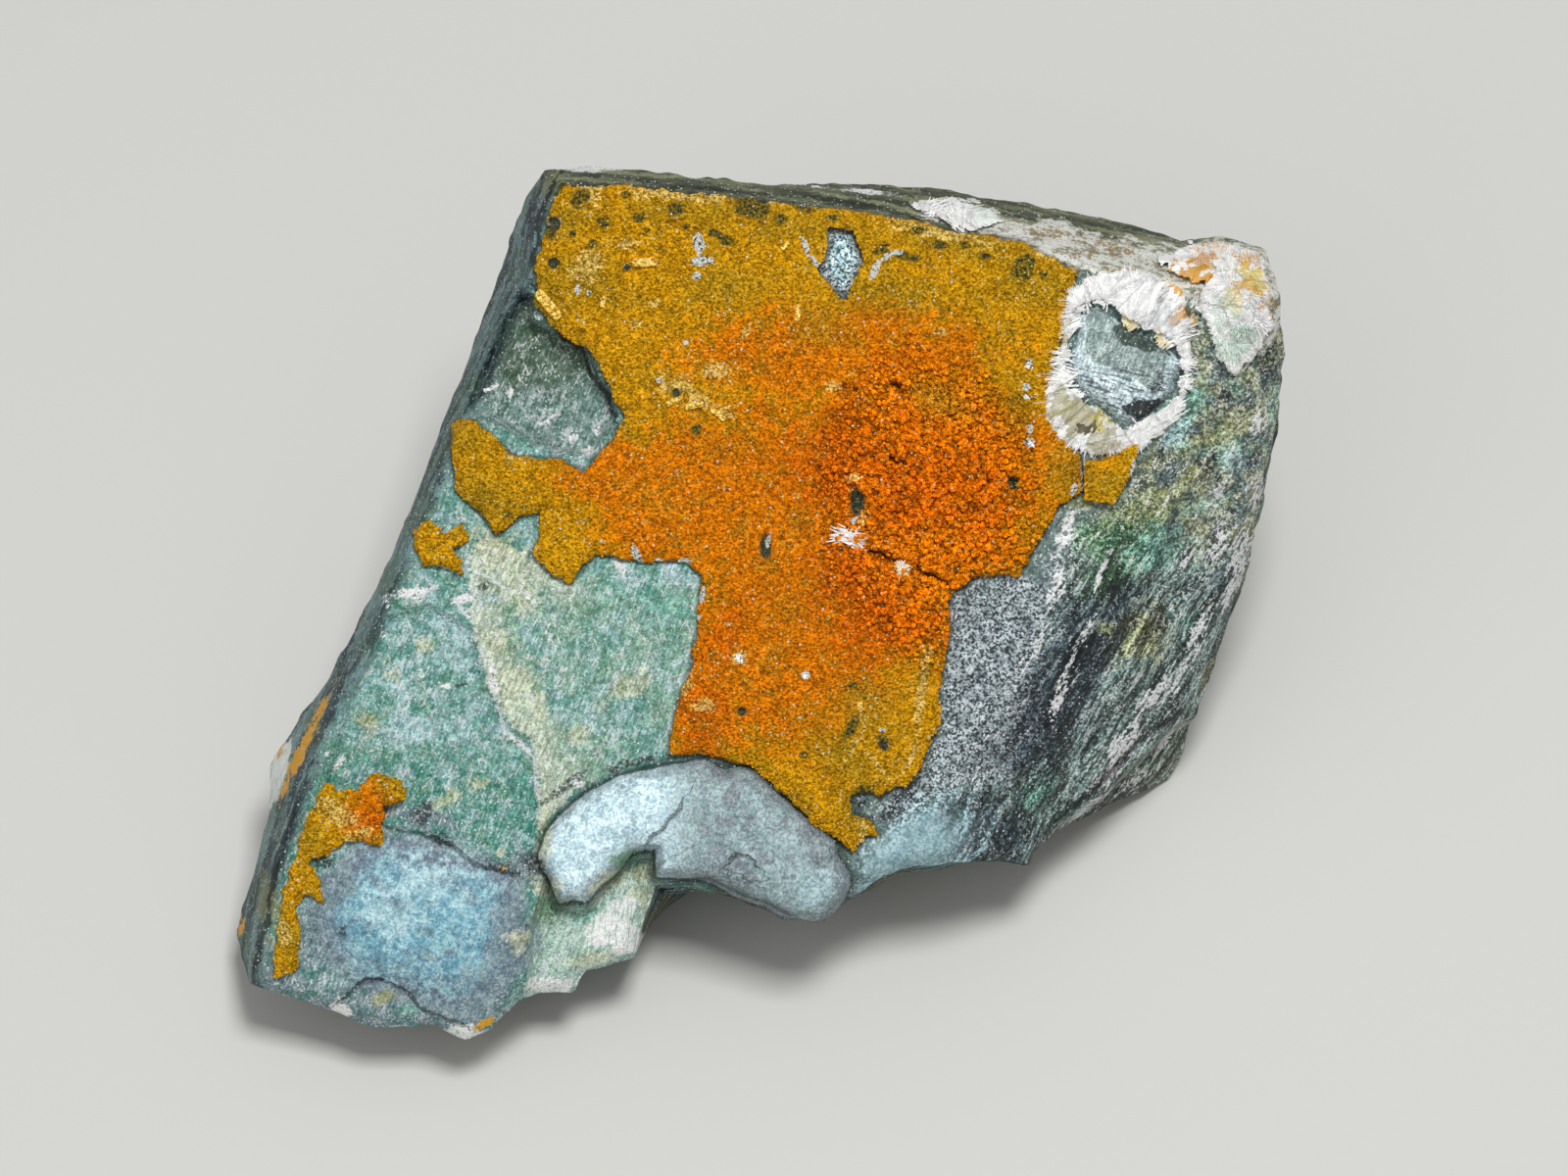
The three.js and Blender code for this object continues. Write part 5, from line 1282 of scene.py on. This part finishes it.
def crustMaterial():
    look = crustLook
    material, tree, shader = newMaterial("desautelsite")
    place = facePlace(tree)
    broad, middle = noiseAt(tree, place, 2.6, 3), noiseAt(tree, place, 0.7, 4, 0.65)
    cloudy, fine = noiseAt(tree, place, 1.6, 4, 0.65), noiseAt(tree, place, 0.23, 3, 0.75)
    grain = useGroup(tree, grains, density=5.0)
    small = both(tree, calc(tree, "SUBTRACT", fine, 0.5), 1.4)
    rough = calc(tree, "MULTIPLY_ADD", calc(tree, "SUBTRACT", middle, 0.5), 3.0, small)
    blurred = calc(tree, "MULTIPLY_ADD", calc(tree, "SUBTRACT", broad, 0.5), 3.0, rough)
    heap = stored(tree, "heap")

    def patch(name, low, high, amount=0.6, edge=rough):
        return fade(tree, calc(tree, "MULTIPLY_ADD", edge, amount, stored(tree, name)), low, high)

    # large clouds of colour
    colour = mixed(tree, patch("deep", -0.35, 0.4, 0.4, blurred), look["ochre"], look["orange"])
    colour = over(tree, colour, patch("red", -0.1, 0.8, 0.5, blurred), look["red"], 0.5)
    colour = over(tree, colour, patch("olive", -0.2, 0.8, 0.5, blurred), look["olive"], 0.55)
    clouds = both(tree, fade(tree, cloudy, 0.52, 0.64, 0.0, 0.4), fade(tree, heap, 0.5, 0.0))
    colour = over(tree, colour, clouds, look["olive"])
    pale = both(tree, patch("pale", 0.0, 0.5, 0.9), fade(tree, fine, 0.42, 0.56, 0.15, 0.95))
    colour = over(tree, colour, pale, look["pale"])

    # grain tone, with lower grains darker as painted shade, and painted shade between the grains and in the
    # crevices
    tone = contrast(tree, fine, 0.1, 0.56, 1.46)
    # painted shade: the tone attribute darkens the grains that sit lower
    tone = both(tree, tone, fade(tree, stored(tree, "tone"), 0.0, 1.0, 0.42, 1.6))
    tone = both(tree, tone, fade(tree, middle, 0.38, 0.62, 0.78, 1.18))
    colour = addNode(tree, "HueSaturation", {"Color": colour, "Value": tone}).outputs[0]
    # painted shade between the grains, stronger in the heap
    gapShade = both(tree, fade(tree, fine, 0.42, 0.3), fade(tree, heap, 0.0, 0.8, 0.35, 0.75))
    colour = over(tree, colour, gapShade, look["shadow"])
    crevice = calc(tree, "ABSOLUTE", stored(tree, "crevice"))
    crevice = calc(tree, "MULTIPLY_ADD", rough, 0.6, crevice)
    colour = over(tree, colour, fade(tree, crevice, 0.3, 0.05, 0.0, 0.8), look["shadow"])

    # bare spots, specks, pits, bright flecks, and painted glints
    grainy = fade(tree, fine, 0.44, 0.6)
    bareTone = mixed(tree, grainy, look["bare"], look["olive"])
    colour = over(tree, colour, patch("bare", 0.02, 0.22, 0.8), bareTone)
    specks = both(tree, fade(tree, fine, 0.36, 0.3), fade(tree, middle, 0.5, 0.42))
    colour = over(tree, colour, specks, look["bare"], 0.7)
    pitTone = mixed(tree, grainy, look["bare"], look["pitGrey"])
    colour = over(tree, colour, patch("pit", 0.15, 0.6, 0.25), pitTone)
    brightTone = mixed(tree, fade(tree, fine, 0.4, 0.5), look["bare"], look["silver"])
    colour = over(tree, colour, patch("bright", -0.05, 0.12, 0.45), brightTone)
    # painted glints: gold and white points of light
    gold = useGroup(tree, glints, density=4.2, share=0.2, width=0.38).outputs[0]
    white = useGroup(tree, glints, density=2.4, share=0.13, width=0.24).outputs[0]
    colour = over(tree, colour, gold, look["glint"], 0.85)
    colour = over(tree, colour, white, look["silver"])
    feed(tree, shader.inputs["Base Color"], colour)
    shader.inputs["Specular IOR Level"].default_value = 0.12
    shader.inputs["Roughness"].default_value = 0.8
    relief = calc(tree, "MULTIPLY_ADD", fine, 0.9, grain.outputs["height"])
    bump = addNode(tree, "Bump", {"Height": relief, "Strength": 1.0, "Distance": 0.00028})
    feed(tree, shader.inputs["Normal"], bump.outputs[0])
    return material


def patchTop(thickness):
    def topAt(x, y, depth):
        border = 0.4 + 0.6 * np.sqrt(np.clip(depth / 0.4, 0, 1))
        ground = np.maximum(faceHeightAt(x, y), rockHeightAt(x, y))
        return ground + 0.1 + thickness * border + 0.06 * lumps(x, y, 3, 0.5)
    return topAt


def flakeTop(x, y, depth):
    past = np.maximum(0, depthInside(rightSlope, x, y))
    return faceHeightAt(x, y) + crust["flakeLift"] + 0.5 * past + 0.03 * lumps(x, y, 3, 0.5)


def crustPiece(name, outline, topAt, cell, ragged, node, material, sharp=60, **more):
    mesh = sheetMesh(name, outline, topAt, cell, ragged, **more)
    x, y, _ = places(mesh).T
    paintCrust(mesh, x, y)
    movePlaces(mesh, laidDown(places(mesh)))
    finishPiece(name, mesh, material, [node], sharp)


def buildCrust(material):
    crustPiece("orangeCrust", mainCrust, crustTop, crust["cell"], crust["ragged"], "desautelsite_crust",
               material, holes=[crustWindow])
    for name, outline, node, thickness in [
        ("leftPatch", leftPatch, "desautelsite_patch_left", crust["leftThickness"]),
        ("lowPatch", lowPatch, "desautelsite_patch_low", crust["lowThickness"]),
    ]:
        crustPiece(name, outline, patchTop(thickness), crust["patchCell"], crust["patchRagged"], node,
                   material)
    crustPiece("orangeFlake", flake, flakeTop, crust["flakeCell"], 0.12, "desautelsite_flake", material,
               50, below=0.1)


# Many small crystals: a shape repeated on points, each with its own turn and size

def scatterGroup():
    group = bpy.data.node_groups.new("repeatShape", "GeometryNodeTree")
    group.interface.new_socket("Geometry", in_out="INPUT", socket_type="NodeSocketGeometry")
    group.interface.new_socket("Shape", in_out="INPUT", socket_type="NodeSocketObject")
    group.interface.new_socket("Geometry", in_out="OUTPUT", socket_type="NodeSocketGeometry")
    given, out = group.nodes.new("NodeGroupInput"), group.nodes.new("NodeGroupOutput")
    info = group.nodes.new("GeometryNodeObjectInfo")
    repeat = group.nodes.new("GeometryNodeInstanceOnPoints")
    real = group.nodes.new("GeometryNodeRealizeInstances")
    group.links.new(given.outputs["Shape"], info.inputs["Object"])
    group.links.new(given.outputs["Geometry"], repeat.inputs["Points"])
    group.links.new(info.outputs["Geometry"], repeat.inputs["Instance"])
    for name, socket in [("turn", "Rotation"), ("size", "Scale")]:
        read = group.nodes.new("GeometryNodeInputNamedAttribute")
        read.data_type = "FLOAT_VECTOR"
        read.inputs["Name"].default_value = name
        group.links.new(read.outputs["Attribute"], repeat.inputs[socket])
    group.links.new(repeat.outputs["Instances"], real.inputs["Geometry"])
    group.links.new(real.outputs["Geometry"], out.inputs["Geometry"])
    return group


repeatShape = scatterGroup()


def scattered(name, shapeMesh, where, turns, sizes, paint=None):
    bm = bmesh.new()
    for place in where:
        bm.verts.new(place)
    mesh = meshFrom(bm, name + "Points")
    writeVectors(mesh, "turn", turns)
    writeVectors(mesh, "size", sizes)
    if paint:
        paint(mesh)
    shape = bpy.data.objects.new(name + "Shape", shapeMesh)
    holder = bpy.data.objects.new(name + "Points", mesh)
    for thing in (shape, holder):
        bpy.context.scene.collection.objects.link(thing)
    modifier = holder.modifiers.new("repeat", "NODES")
    modifier.node_group = repeatShape
    socket = next(s for s in repeatShape.interface.items_tree if s.name == "Shape")
    modifier[socket.identifier] = shape
    graph = bpy.context.evaluated_depsgraph_get()
    grown = holder.evaluated_get(graph)
    made = bpy.data.meshes.new_from_object(grown, preserve_all_data_layers=True, depsgraph=graph)
    made.name = name
    for thing in (shape, holder):
        bpy.data.objects.remove(thing)
    return made


def grainShape():
    bm = bmesh.new()
    bmesh.ops.create_icosphere(bm, subdivisions=1, radius=1)
    for vert in bm.verts:
        vert.co *= 1 + 0.22 * float(lumps(vert.co.x * 3, vert.co.y * 3, vert.co.z * 3, 1.0))
        vert.co.z *= 0.8
    return meshFrom(bm, "grainShape")


def needleShape():
    bm = bmesh.new()
    bmesh.ops.create_cone(bm, cap_ends=True, segments=4, radius1=1, radius2=0.25, depth=1)
    bmesh.ops.translate(bm, verts=bm.verts, vec=(0, 0, 0.5))
    return meshFrom(bm, "needleShape")


def rodShape():
    bm = bmesh.new()
    bmesh.ops.create_cube(bm, size=1)
    bmesh.ops.bevel(bm, geom=bm.edges[:], offset=0.18, segments=2, profile=0.5, affect="EDGES", material=-1)
    return meshFrom(bm, "rodShape")


grainSet = dict(
    heap=dict(count=6600, size=(0.14, 0.28), lift=(-0.3, 1.1)),
    loose=dict(count=6600, size=(0.06, 0.15), lift=(-0.3, 0.5)),
)


def grainPlaces(name):
    count = grainSet[name]["count"]
    (across, up), (wide, tall) = crust["heapMiddle"], crust["heapSize"]
    tries = count * 4
    if name == "heap":
        x = across + wide * 1.2 * random.uniform(-1, 1, tries)
        y = up + tall * 1.2 * random.uniform(-1, 1, tries)
        chance = heapsAt(x, y)
    else:
        x, y = random.uniform(-23, 23, tries), random.uniform(-19, 29, tries)
        chance = 1 - 0.8 * heapsAt(x, y)
    allowed = (depthInside(mainCrust, x, y) > 0.12) & (depthInside(crustWindow, x, y) < -0.1)
    allowed &= (pitsAt(x, y) < 0.2) & (np.abs(sideOfLines(crevices, x, y)) > 0.2)
    allowed &= random.uniform(0, 1, tries) < chance
    return x[allowed][:count], y[allowed][:count]


def buildGrains(material):
    for name, look in grainSet.items():
        x, y = grainPlaces(name)
        size = random.uniform(*look["size"], len(x)) * (0.7 + 0.3 * heapsAt(x, y))
        rise = random.uniform(0, 1, len(x))
        # tone follows how high the grain sits: painted shade on the lower grains, with a little random tone
        tone = 0.8 * rise + random.uniform(0, 0.25, len(x))
        low, high = look["lift"]
        z = crustTop(x, y, depthInside(mainCrust, x, y)) + size * (low + (high - low) * rise)
        turns = random.uniform(0, 2 * math.pi, (len(x), 3))
        lengths = size[:, None] * random.uniform(0.7, 1.3, (len(x), 3)) / metre
        where = laidDown(np.stack([x, y, z], axis=1))
        mesh = scattered(name + "Grains", grainShape(), where, turns, lengths,
                         lambda points: paintCrust(points, x, y, tone))
        finishPiece(name + "Grains", mesh, material, sharp=20)


rods = [
    (-15.4, 20.2, -50, 2.5, 0.75), (-8.5, 23.2, 2, 1.8, 0.6), (-6.5, 13.3, 25, 1.1, 0.42),
    (-5, 13, 12, 1.4, 0.45), (-3.3, 12.4, -38, 1.3, 0.4), (2.4, 19.6, 84, 1.1, 0.38),
    (6.6, 8.1, 15, 0.9, 0.4), (-11.5, 20.4, 75, 0.8, 0.35), (1.5, 24.4, 40, 0.7, 0.3),
]


def faceEuler(angle):
    turn = math.radians(angle)
    spin = np.array([[math.cos(turn), -math.sin(turn), 0], [math.sin(turn), math.cos(turn), 0], [0, 0, 1]])
    return tuple(Matrix((faceTurn @ spin).tolist()).to_euler())


def buildRods(material):
    x, y, angle, length, width = np.array(rods).T
    z = crustTop(x, y, depthInside(mainCrust, x, y)) + width * 0.12
    where = laidDown(np.stack([x, y, z], axis=1))
    turns = [faceEuler(a) for a in angle]
    sizes = np.stack([length, width, width * 0.8], axis=1) / metre

    def paintRods(points):
        for name in crustPaint:
            writeValues(points, name, np.full(len(x), 0.75 if name == "pale" else -1))
        writeValues(points, "crevice", np.full(len(x), 5))
        writeValues(points, "tone", np.full(len(x), 0.8))

    mesh = scattered("crustRods", rodShape(), where, turns, sizes, paintRods)
    finishPiece("crustRods", mesh, material, sharp=30)


# White artinite

whiteLook = dict(
    white=tint(255, 255, 253), grey=tint(190, 194, 196), beige=tint(184, 180, 142),
    stain=tint(224, 160, 40), yellow=tint(236, 212, 96), pale=tint(206, 228, 212),
    rose=tint(222, 186, 158), dark=tint(58, 46, 30),
)
whiteStains = [
    ("beige", 22.3, 12.2, 1.8, 0.85), ("beige", 21.2, 13.0, 1.3, 0.75), ("beige", 24.2, 10.8, 1.5, 0.7),
    ("beige", 20.6, 18.2, 1.2, 0.5), ("yellow", 20.3, 17.7, 0.9, 0.5), ("yellow", 24.5, 12.2, 1.0, 0.5),
    ("yellow", 25.5, 18.7, 0.8, 0.6), ("yellow", 27.8, 17.8, 0.8, 0.6), ("stain", 30.3, 22.0, 1.6, 0.9),
    ("stain", 29.8, 19.5, 0.8, 0.8), ("stain", 31.4, 23.3, 1.1, 0.7), ("stain", 34.6, 23.4, 0.9, 0.6),
    ("yellow", 35.0, 22.0, 1.3, 0.8), ("stain", 36.0, 20.4, 0.9, 0.5), ("yellow", 33.4, 20.5, 1.1, 0.5),
    ("pale", 33.6, 17.6, 1.8, 0.7), ("pale", 32.5, 20.0, 1.3, 0.4), ("grey", 28.2, 19.4, 1.5, 0.5),
    ("stain", 32.4, 25.0, 0.8, 0.5), ("dark", 23.0, 11.2, 0.3, 0.8), ("dark", 30.4, 19.6, 0.3, 0.8),
    ("dark", 30.5, 18.4, 0.3, 0.8), ("stain", 34.3, 21.6, 0.8, 0.5), ("grey", 22.9, 14.2, 0.7, 0.6),
    ("pale", 16.0, 26.6, 1.0, 0.4), ("rose", 7.2, 3.4, 1.0, 0.75), ("yellow", 9.8, 1.4, 1.0, 0.4),
]


def artiniteMaterial():
    look = whiteLook
    material, tree, shader = newMaterial("artinite")
    place = facePlace(tree)
    middle = noiseAt(tree, place, 0.9, 4, 0.65)
    fine = noiseAt(tree, place, 0.16, 2, 0.6)
    fans = addNode(tree, "Attribute", attribute_name="fibre").outputs["Vector"]
    silk = noiseAt(tree, fans, 0.16, 3, 0.7)
    colour = mixed(tree, fade(tree, middle, 0.5, 0.72, 0, 0.7), look["white"], look["grey"])
    for paint, across, up, radius, strength in whiteStains:
        mask = fade(tree, spot(tree, across, up, radius, 2.2), 0.3, 0.65)
        colour = over(tree, colour, mask, look[paint], strength)
    tone = both(tree, fade(tree, silk, 0.36, 0.6, 0.8, 1.08), fade(tree, fine, 0.3, 0.7, 0.9, 1.08))
    colour = addNode(tree, "HueSaturation", {"Color": colour, "Value": tone}).outputs[0]
    feed(tree, shader.inputs["Base Color"], colour)
    shader.inputs["Roughness"].default_value = 0.4
    relief = calc(tree, "MULTIPLY_ADD", silk, 1.6, fine)
    bump = addNode(tree, "Bump", {"Height": relief, "Strength": 0.7, "Distance": 0.0002})
    feed(tree, shader.inputs["Normal"], bump.outputs[0])
    return material


# origin across and up, direction, spread, shortest and longest needle, how steeply they rise, how many
ringSprays = [
    (22.6, 20.0, 150, 60, 0.5, 1.5, 10, 255), (24.2, 20.6, 95, 45, 0.6, 1.4, 10, 255),
    (26, 18.9, 60, 36, 1.2, 3.2, 8, 442), (28.4, 17.6, 42, 34, 1.0, 2.9, 8, 374),
    (29.9, 16, 10, 50, 0.3, 0.6, 14, 153), (21.6, 18.4, 166, 16, 0.5, 1.9, 6, 187),
    (21.6, 16.6, 178, 30, 0.5, 1.5, 10, 204), (21.9, 15.2, 186, 30, 0.6, 3.0, 8, 340),
    (22.4, 13.8, 206, 30, 0.8, 3.2, 6, 380), (21.0, 18.3, 168, 14, 0.8, 2.2, 5, 150),
    (23.6, 12.5, 234, 36, 0.9, 3.1, 6, 400), (24.8, 11.5, 262, 36, 0.6, 1.9, 8, 306),
    (26.6, 11.4, 290, 30, 0.4, 1.1, 10, 187), (25.2, 10.0, 33, 5, 2.2, 4.4, 3, 153),
    (29.2, 13.2, 340, 40, 0.3, 0.6, 14, 119), (29.9, 14.6, 0, 40, 0.3, 0.6, 14, 119),
    (22.2, 19.0, 200, 40, 0.4, 1.0, 12, 136),
]
cornerSprays = [
    (31.2, 23.4, 100, 90, 0.3, 0.8, 30, 289), (33, 23.6, 80, 90, 0.3, 0.8, 30, 323),
    (34.8, 23, 45, 90, 0.3, 0.8, 30, 289), (34.6, 20.9, -10, 90, 0.3, 0.8, 30, 289),
    (33.2, 21.8, 200, 120, 0.3, 0.8, 34, 323), (34.2, 19.0, 250, 90, 0.3, 0.9, 26, 289),
    (33.4, 17.4, 235, 70, 0.4, 1.0, 22, 272), (35.4, 18.8, 0, 70, 0.2, 0.6, 26, 170),
    (32.4, 18.2, 215, 60, 0.3, 0.8, 22, 204),
]
tuftSprays = [
    (6.2, 3.6, -16, 34, 0.3, 0.9, 8, 80), (6.0, 3.7, 176, 22, 0.3, 1.0, 10, 50),
    (9.8, 1.4, 0, 180, 0.15, 0.5, 20, 80), (-1.8, -5, 0, 180, 0.1, 0.3, 26, 30),
    (2.9, -6.3, 0, 180, 0.1, 0.25, 30, 26), (19, 10.4, 0, 180, 0.1, 0.3, 30, 30),
    (18.9, 13.6, 200, 60, 0.1, 0.3, 20, 14), (18.9, 15.9, 200, 60, 0.1, 0.3, 20, 10),
]
fanSprays = [
    (13.9, 25.9, 115, 40, 0.5, 1.3, 6, 160), (11.4, 27.3, 12, 18, 1.0, 2.8, 4, 150),
    (14.8, 26.9, -4, 14, 0.6, 1.7, 4, 100), (12.2, 27.0, 40, 30, 0.4, 1.2, 6, 80),
]


def fansAt(mesh, x, y, sprays):
    origins = np.array([spray[:2] for spray in sprays])
    dx, dy = x[:, None] - origins[:, 0], y[:, None] - origins[:, 1]
    nearest = np.argmin(np.hypot(dx, dy), axis=1)
    pick = np.arange(len(x))
    dx, dy = dx[pick, nearest], dy[pick, nearest]
    far = np.maximum(np.hypot(dx, dy), 0.05)
    writeVectors(mesh, "fibre", np.stack([dx / far, dy / far, nearest * 3 + 0.06 * far], axis=1))


def sprayNeedles(sprays, heightAt, width, outline, reach):
    where, turns, sizes, feet = [], [], [], []
    for across, up, direction, spread, short, long, rise, count in sprays:
        angle = np.radians(direction + spread * random.uniform(-1, 1, count))
        lift = np.radians(rise * random.uniform(0.15, 1.3, count))
        length = random.uniform(short, long, count)
        start = random.uniform(0, 0.45, count) * length
        side = random.normal(0, min(0.25, 0.3 * long), (count, 2))
        x, y = across + np.cos(angle) * start + side[:, 0], up + np.sin(angle) * start + side[:, 1]
        aim = np.stack([np.cos(angle) * np.cos(lift), np.sin(angle) * np.cos(lift), np.sin(lift)], axis=1)
        tips = depthInside(outline, x + aim[:, 0] * length, y + aim[:, 1] * length)
        kept = tips > -reach * random.uniform(0, 1, count) ** 2
        x, y, length, aim = x[kept], y[kept], length[kept], aim[kept] @ faceTurn.T
        where.append(laidDown(np.stack([x, y, heightAt(x, y)], axis=1)))
        turns += [tuple(Vector(a).to_track_quat("Z", "Y").to_euler()) for a in aim]
        thick = width * random.uniform(0.6, 1.5, len(x))
        sizes.append(np.stack([thick * 1.7, thick * 0.6, length], axis=1) / metre)
        feet.append(np.stack([x, y], axis=1))
    return np.concatenate(where), np.array(turns), np.concatenate(sizes), np.concatenate(feet)


artinite = dict(
    cell=0.14, ringMiddle=(25.6, 15.6), ringHeight=0.7, massHeight=1.1, fanHeight=0.75,
    ringNeedle=0.034, cornerNeedle=0.03, fanNeedle=0.03, tuftNeedle=0.045,
)


def ringTop(x, y, depth):
    across, up = artinite["ringMiddle"]
    turn = np.arctan2(y - up, x - across)
    ridge = (artinite["ringHeight"] + 0.12 * np.sin(46 * turn + 2 * lumps(x, y, 3, 1.5))
             + 0.25 * lumps(x, y, 6, 1.5) + 0.08 * lumps(x, y, 2, 0.4))
    border = 0.25 + 0.75 * np.sqrt(np.clip(depth / 0.9, 0, 1))
    ground = np.maximum(faceHeightAt(x, y), rockHeightAt(x, y) - chipRise * (depthInside(chip, x, y) > 0))
    return ground + 0.1 + np.maximum(ridge * border, 0.15)


def massTop(x, y, depth):
    border = 0.25 + 0.75 * np.sqrt(np.clip(depth / 1.1, 0, 1))
    rise = (artinite["massHeight"] + 0.45 * lumps(x, y, 7, 2) + 0.2 * lumps(x, y, 3, 0.8)
            + 0.1 * lumps(x, y, 3, 0.35))
    return faceHeightAt(x, y) + 0.15 + border * rise


def fanTop(x, y, depth):
    border = 0.3 + 0.7 * np.sqrt(np.clip(depth / 0.7, 0, 1))
    rise = artinite["fanHeight"] + 0.08 * np.sin(9 * x - 5 * y) + 0.1 * lumps(x, y, 3, 0.5)
    return faceHeightAt(x, y) + 0.15 + border * rise


# Where the needles stand
def aboveRing(x, y):
    return np.maximum(faceHeightAt(x, y) + 0.55, rockHeightAt(x, y))


def aboveMass(x, y):
    return faceHeightAt(x, y) + 0.95


def onCrust(x, y):
    return crustTop(x, y, np.maximum(depthInside(mainCrust, x, y), 0)) - 0.1


def aboveGrains(x, y):
    return onCrust(x, y) + 0.15 + 0.25 * heapsAt(x, y)


def buildWhiteMasses(material):
    for name, outline, topAt, holes, node, ragged, sprays in [
        ("artiniteRing", ringOutside, ringTop, [ringInside], "artinite_ring", 0.32, ringSprays),
        ("artiniteCorner", cornerMass, massTop, [], "artinite_corner_mass", 0.6, cornerSprays),
        ("artiniteTopFan", topFan, fanTop, [], "artinite_top_fan", 0.25, fanSprays),
    ]:
        mesh = sheetMesh(name, outline, topAt, artinite["cell"], ragged, holes)
        x, y, _ = places(mesh).T
        fansAt(mesh, x, y, sprays)
        movePlaces(mesh, laidDown(places(mesh)))
        finishPiece(name, mesh, material, [node], 60)


def buildNeedles(material):
    for name, sprays, heightAt, width, outline, reach in [
        ("ringNeedles", ringSprays, aboveRing, artinite["ringNeedle"], ringOutside, 1.1),
        ("cornerNeedles", cornerSprays, aboveMass, artinite["cornerNeedle"], cornerMass, 0.35),
        ("fanNeedles", fanSprays, onCrust, artinite["fanNeedle"], topFan, 0.4),
        ("whiteTufts", tuftSprays, aboveGrains, artinite["tuftNeedle"], rim, 0),
    ]:
        where, turns, sizes, feet = sprayNeedles(sprays, heightAt, width, outline, reach)
        mesh = scattered(name, needleShape(), where, turns, sizes,
                         lambda points: fansAt(points, *feet.T, sprays))
        finishPiece(name, mesh, material, sharp=30)


# Room, light and camera

room = dict(
    floor=tint(206, 206, 202), floorSize=1.5, background=0.32, lightDistance=0.5, keyPower=1.9,
    keySize=0.14, fillPower=0.5, fillSize=0.5,
)
view = dict(distance=0.45, frameWidth=0.112, across=1.4, up=0.0)


def buildFloor():
    bm = bmesh.new()
    bmesh.ops.create_grid(bm, x_segments=1, y_segments=1, size=room["floorSize"])
    mesh = meshFrom(bm, "floor")
    floor = bpy.data.objects.new("floor", mesh)
    bpy.context.scene.collection.objects.link(floor)
    material, tree, shader = newMaterial("paleFloor")
    shader.inputs["Base Color"].default_value = room["floor"]
    shader.inputs["Roughness"].default_value = 0.7
    mesh.materials.append(material)


def addLight(name, aim, power, size):
    towards = Vector(np.array(aim) @ faceTurn.T).normalized()
    light = bpy.data.lights.new(name, "AREA")
    light.energy, light.size = power, size
    lamp = bpy.data.objects.new(name, light)
    lamp.location = Vector(laidDown([0, 0, 0])) + towards * room["lightDistance"]
    lamp.rotation_euler = towards.to_track_quat("Z", "Y").to_euler()
    bpy.context.scene.collection.objects.link(lamp)


def buildRoom():
    buildFloor()
    world = bpy.data.worlds.new("studio")
    world.use_nodes = True
    background = world.node_tree.nodes["Background"]
    background.inputs[0].default_value = (1, 1, 1, 1)
    background.inputs[1].default_value = room["background"]
    bpy.context.scene.world = world
    addLight("keyLight", (0.15, 0.55, 1.0), room["keyPower"], room["keySize"])
    addLight("fillLight", (-0.7, -0.2, 0.8), room["fillPower"], room["fillSize"])


def buildCamera():
    camera = bpy.data.cameras.new("camera")
    camera.lens = camera.sensor_width * view["distance"] / view["frameWidth"]
    camera.clip_start = 0.01
    holder = bpy.data.objects.new("camera", camera)
    towards = Vector(faceTurn @ np.array([0, 0, 1]))
    holder.location = Vector(laidDown([view["across"], view["up"], 0])) + towards * view["distance"]
    holder.rotation_euler = (tilt, 0, 0)
    bpy.context.scene.collection.objects.link(holder)
    bpy.context.scene.camera = holder


buildRoom()
buildCamera()
bpy.context.scene.view_settings.view_transform = "Standard"
print("room ready")
buildRock(rockMaterial())
print("rock ready")
orange = crustMaterial()
buildCrust(orange)
buildGrains(orange)
buildRods(orange)
print("crust ready")
white = artiniteMaterial()
buildWhiteMasses(white)
buildNeedles(white)
print("artinite ready")
